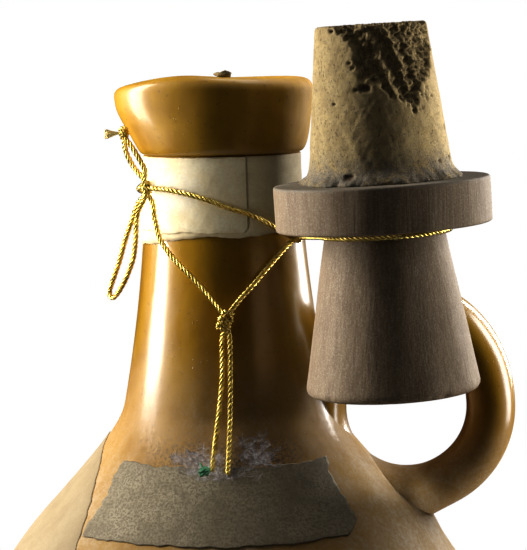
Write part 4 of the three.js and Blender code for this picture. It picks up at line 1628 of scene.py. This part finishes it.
    def build(self, gold: ThreadFinish, green: ThreadFinish, loose: ThreadFinish) -> None:
        """All cords with their knots.

        Args:
            gold: the cord's finish.
            green: the scrap's finish.
            loose: the frayed tip's finish.
        """
        self.gold, self.green, self.loose = gold.material(), green.material(), loose.material()
        side = self.neck([self.SIDE_KNOT], self.SIDE_LIFT)[0]
        front = self.neck([self.FRONT_KNOT], self.FRONT_LIFT)[0]
        sling = self.neck([self.SLING_KNOT], self.SLING_LIFT)[0]
        end = self.free([self.END_KNOT])[0]
        up = np.array([0.0, 0.0, 1.0])
        side_knot = self.knot("side_wraps", Body.COLLAR, side, radius=1.3, half=1.5,
                              turns=2.4, tilt=18.0, nodes=["side_knot"])
        front_knot = self.knot("v_wraps", Body.COLLAR, front, radius=1.75, half=2.4,
                               turns=3.0, tilt=-24.0, nodes=["front_knot"])
        end_knot = self.knot("end_wraps", Body.COLLAR, end, radius=1.15, half=1.2,
                             turns=2.2, tilt=14.0, nodes=["end_knot"])
        sling_knot = self.knot("sling_wraps", Body.SLING, sling, radius=1.3, half=1.2,
                               turns=2.2, tilt=10.0, nodes=["sling_knot"])
        frayed, scrap = self.frayed(), self.green_scrap()
        self.strand(
            "collar_cord", Body.COLLAR,
            [side, *self.neck(self.COLLAR_FRONT), *self.neck([self.SLING_KNOT], self.UNDER_SLING),
             *self.neck(self.COLLAR_BACK), side + up],
            ["collar_front", "collar_back"])
        left = self.strand(
            "left_cord", Body.COLLAR,
            [side - up, *self.neck(self.V_LEFT), front + up, front - up, *self.neck(self.TAIL_LEFT)],
            ["necklace_left", "tail_left"])
        self.strand(
            "right_cord", Body.COLLAR,
            [*self.neck([(320.5, 17.0)], self.UNDER_SLING), *self.neck(self.V_RIGHT[::-1]),
             front + (0.5, 0.0, 0.8), front + (0.5, 0.0, -0.9), *self.neck(self.TAIL_RIGHT)],
            ["necklace_right", "tail_right"])
        spare = self.strand(
            "spare_cord", Body.COLLAR,
            [end - up * 0.6, *self.free(self.END_FRONT[::-1]), side + up * 1.6 + (-0.3, -0.6, 0),
             side - up * 1.2 + (-0.3, 0.3, 0), *self.free(self.BIGHT),
             side - up * 1.5 + (-0.2, -0.7, 0), side + up * 1.4 + (-0.4, 0.6, 0),
             *self.free(self.END_BACK), end - up * 0.4],
            ["side_bight", "end_strand_front", "end_strand_back"])
        self.strand("sling_cord", Body.SLING, self.sling_route(sling),
                    ["sling_loop"])
        for piece in (left, spare, side_knot, end_knot):
            piece.visible_shadow = False


@dataclass
class Dust:
    """Grey lint caught round the ends of the tails, and a crumb of cork on the rim."""

    jug: Jug
    density: float = 3.0e7
    curl: float = 2.6
    thickness: float = 0.024
    patch_steps: int = 26
    first_seed: int = 50
    crumb_place: tuple[float, float] = (1.0, -14.8)
    crumb_lift: float = 0.55
    grow: ModifierTree = field(default_factory=lint_tree)

    CLUMPS = (("lint_left", 256.0, 127.5, 12.5, 5.2, 2.6), ("lint_right", 283.0, 128.2, 9.0, 8.0, 2.6),
              ("lint_low", 268.0, 125.5, 15.0, 3.4, 2.0))

    def patch(self, name: str, turn: float, height: float, wide: float, tall: float,
              seed: int) -> bpy.types.Object:
        """Ragged patch of the skin that lint grows from.

        Args:
            name: the object's name.
            turn: degrees round the axis of its middle.
            height: the height of its middle.
            wide: its width.
            tall: its height.
            seed: the seed of its edge.

        Returns:
            The patch, to be used up.
        """
        steps = self.patch_steps
        u, v = np.meshgrid(np.linspace(-1, 1, steps), np.linspace(-1, 1, steps))
        u, v = u.ravel(), v.ravel()
        z = height + v * tall / 2
        radius = self.jug.radius(z) + 0.4
        angle = np.radians(turn) + u * wide / 2 / radius
        points = np.column_stack([radius * np.cos(angle), radius * np.sin(angle), z])
        ragged = ripple(np.column_stack([u, v]) * 10, size=9.0, seed=seed, octaves=4)
        keep = u ** 2 + v ** 2 < 0.62 + 0.45 * ragged
        faces = [f for f in grid_faces(steps, steps) if all(keep[c] for c in f)]
        return mesh_object(name, points, faces, bpy.data.materials[0])

    def build(self, lint: PlainFinish, cork: CorkFinish) -> None:
        """Lint clumps and the crumb.

        Args:
            lint: the lint's finish.
            cork: the crumb's finish.
        """
        fluff = lint.material()
        for number, (name, turn, height, wide, tall, length) in enumerate(self.CLUMPS):
            patch = self.patch(name + "_patch", turn, height, wide, tall, self.first_seed + number)
            piece = self.grow.run(patch, name, Density=self.density, Length=length * MM,
                                  Curl=self.curl * MM, Thickness=self.thickness * MM,
                                  Seed=number + 1, Material=fluff)
            piece.visible_shadow = False
            dress(piece, Body.BOTTLE, Slot.STAINED)
        side = bezier([(0.3, -0.7), (1.6, -0.6), (1.5, 0.5), (0.3, 0.6)], 10)
        turned, faces = lathe(np.vstack([[[0.0, -0.7]], side, [[0.0, 0.6]]]), 18)
        lump = turned * (1.25, 0.9, 1.0)
        lump *= (1.0 + 0.28 * ripple(lump, size=2.2, seed=77, octaves=3))[:, None]
        rim = np.array([*self.crumb_place, self.jug.rim + self.crumb_lift])
        crumb = mesh_object("cork_crumb", lump + rim, faces, cork.material())
        dress(crumb, Body.BOTTLE, Slot.CORK)


@dataclass
class Studio:
    """Camera, soft lights, white surround and pale floor."""

    eye: Point = (7.7, -400.0, 203.0)
    pitch: float = 6.1
    roll: float = 1.3
    focal_px: float = 2010.0
    sensor: float = 36.0
    near: float = 0.01
    glow: float = 0.012
    gamma: float = 0.72
    floor_radius: float = 150.0
    floor_under: float = -0.3
    floor_top: float = -0.2

    MIDDLE = (0.0, 0.0, 180.0)
    HUNG = (30.0, -30.0, 175.0)
    RIGHT_PLACE = (279.0, -8.0, 190.0)
    RIGHT_SIZE = (120.0, 260.0)
    RIGHT_LIT = ("cork_taper", "sling_cord", "clay_ring", "collar_cord", "left_cord", "right_cord",
                 "v_wraps")
    FILL_LIT = ("paper_band", "neck_paper", "frayed_tip", "collar_cord", "left_cord", "right_cord",
                "spare_cord", "shoulder_paper", "end_wraps", "sling_cord")

    def camera(self) -> None:
        """Camera at the photograph's viewing angle."""
        data = bpy.data.cameras.new("camera")
        data.sensor_fit = "VERTICAL"
        data.sensor_height = self.sensor
        data.sensor_width = self.sensor
        data.lens = self.focal_px * self.sensor / IMAGE_HEIGHT
        data.clip_start = self.near
        made = placed("camera", data)
        down = math.radians(self.pitch)
        ahead = Vector((0.0, math.cos(down), -math.sin(down)))
        level = Vector((1.0, 0.0, 0.0))
        above = level.cross(ahead)
        turn = math.radians(self.roll)
        right = math.cos(turn) * level - math.sin(turn) * above
        up = math.cos(turn) * above + math.sin(turn) * level
        frame = Matrix((right, up, -ahead)).transposed().to_4x4()
        frame.translation = Vector(self.eye) * MM
        made.matrix_world = frame
        bpy.context.scene.camera = made

    def light(self, name: str, place: Point, aim: Point, size: tuple[float, float],
              watts: float, only: Sequence[str] = ()) -> None:
        """Rectangular soft box.

        Args:
            name: its name.
            place: where it stands.
            aim: what it faces.
            size: its width and height.
            watts: its power.
            only: names of the pieces that it lights, or none for all.
        """
        data = bpy.data.lights.new(name, "AREA")
        data.shape = "RECTANGLE"
        data.size, data.size_y = (side * MM for side in size)
        data.energy = watts
        made = placed(name, data)
        way = (Vector(aim) - Vector(place)).normalized()
        frame = way.to_track_quat("-Z", "Y").to_matrix().to_4x4()
        frame.translation = Vector(place) * MM
        made.matrix_world = frame
        if only:
            lit = bpy.data.collections.new(name + "_lit")
            for piece in only:
                lit.objects.link(bpy.data.objects[piece])
            made.light_linking.receiver_collection = lit

    def surround(self) -> None:
        """White surround that lights the object only softly."""
        world = bpy.data.worlds.new("surround")
        bpy.context.scene.world = world
        world.use_nodes = True
        tree = NodeTree(world.node_tree)
        world.node_tree.nodes.clear()
        soft, white = (
            tree.add("ShaderNodeBackground", None, {"Color": (1.0, 1.0, 1.0), "Strength": strength})
            for strength in (self.glow, 1.0))
        seen = tree.add("ShaderNodeLightPath", output="Is Camera Ray")
        mixed = tree.add("ShaderNodeMixShader", None, {0: seen, 1: soft, 2: white})
        tree.node("ShaderNodeOutputWorld", None, {"Surface": mixed})

    def floor(self) -> None:
        """Round pale floor under the foot."""
        wide, under, top = self.floor_radius, self.floor_under, self.floor_top
        points, faces = lathe(np.array([[0.0, under], [wide, under], [wide, top], [0.0, top]]), 96)
        finish = PlainFinish("pale_floor", (0.80, 0.80, 0.79), (0.76, 0.76, 0.75), per_mm=0.01)
        made = mesh_object("floor", points, faces, finish.material())
        made.data.shade_flat()

    def build(self) -> None:
        """Lights, surround and floor."""
        self.light("left_box", (-180.0, 8.0, 220.0), self.MIDDLE, (75.0, 220.0), watts=1.0)
        self.light("rear_strip", (312.0, 262.0, 252.0), self.MIDDLE, (36.0, 255.0), watts=2.0)
        self.light("right_box", self.RIGHT_PLACE, self.HUNG, self.RIGHT_SIZE, watts=1.05,
                   only=self.RIGHT_LIT)
        self.light("right_soft", self.RIGHT_PLACE, self.HUNG, self.RIGHT_SIZE, watts=0.58,
                   only=("turned_head",))
        self.light("right_high", (211.0, 148.0, 549.0), self.MIDDLE, (420.0, 420.0), watts=2.4,
                   only=("stoneware_body", "shoulder_paper"))
        self.light("left_fill", (-260.0, -300.0, 150.0), self.MIDDLE, (200.0, 200.0), watts=0.34,
                   only=self.FILL_LIT)
        self.light("high_fill", (0.0, -250.0, 650.0), self.MIDDLE, (800.0, 800.0), watts=0.6)
        self.surround()
        self.floor()
        view = bpy.context.scene.view_settings
        view.view_transform = "Standard"
        view.look = "None"
        view.gamma = self.gamma


def clear_scene() -> None:
    """Remove what a new file starts with."""
    for made in list(bpy.data.objects):
        bpy.data.objects.remove(made)


def main() -> None:
    """Build the bottle round its frame."""
    logging.basicConfig(level=logging.INFO, format="%(message)s")
    clear_scene()
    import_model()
    studio = Studio()
    studio.camera()
    jug, stopper = Jug(), Stopper()
    cord = CordWork(jug, stopper)
    cord.build(ThreadFinish("gold_thread", (0.87, 0.70, 0.24), (0.34, 0.245, 0.055), metal=1.0, rough=0.24),
               ThreadFinish("green_thread", (0.16, 0.42, 0.22), (0.07, 0.23, 0.11), metal=0.0, rough=0.55),
               # the frayed fibres get a paler, non-metal copy of the gold: painted light that makes them
               # read as lit
               ThreadFinish("frayed_thread", (0.95, 0.84, 0.48), (0.80, 0.64, 0.28), metal=0.0, rough=0.5))
    jug.build(GlazeFinish().material())
    RingHandle(jug).build(GlazeFinish(name="handle_glaze", dusting=0.9, dust_top=138.0).material())
    Papers(jug).build(
        PaperFinish("neck_paper", (0.93, 0.84, 0.60), (0.86, 0.72, 0.45), (0.55, 0.41, 0.21),
                    staining=0.25, rubbed=0.5),
        PaperFinish("band_paper", (0.84, 0.72, 0.47), (0.72, 0.58, 0.34), (0.45, 0.33, 0.17),
                    staining=0.3),
        # the shoulder paper's split paints its right part darker as shade
        PaperFinish("shoulder_paper", (0.35, 0.30, 0.20), (0.25, 0.21, 0.135), (0.15, 0.115, 0.066),
                    staining=0.5, split=0.47, dust=0.3, grit=0.95),
        PaperFinish("flank_paper", (0.40, 0.315, 0.185), (0.36, 0.275, 0.155), (0.25, 0.18, 0.095),
                    staining=0.25))
    stopper.build(WoodFinish(), CorkFinish())
    Dust(jug).build(PlainFinish("lint", (0.58, 0.545, 0.53), (0.25, 0.225, 0.22), per_mm=1.2), CorkFinish())
    studio.build()


if __name__ == "__main__":
    main()
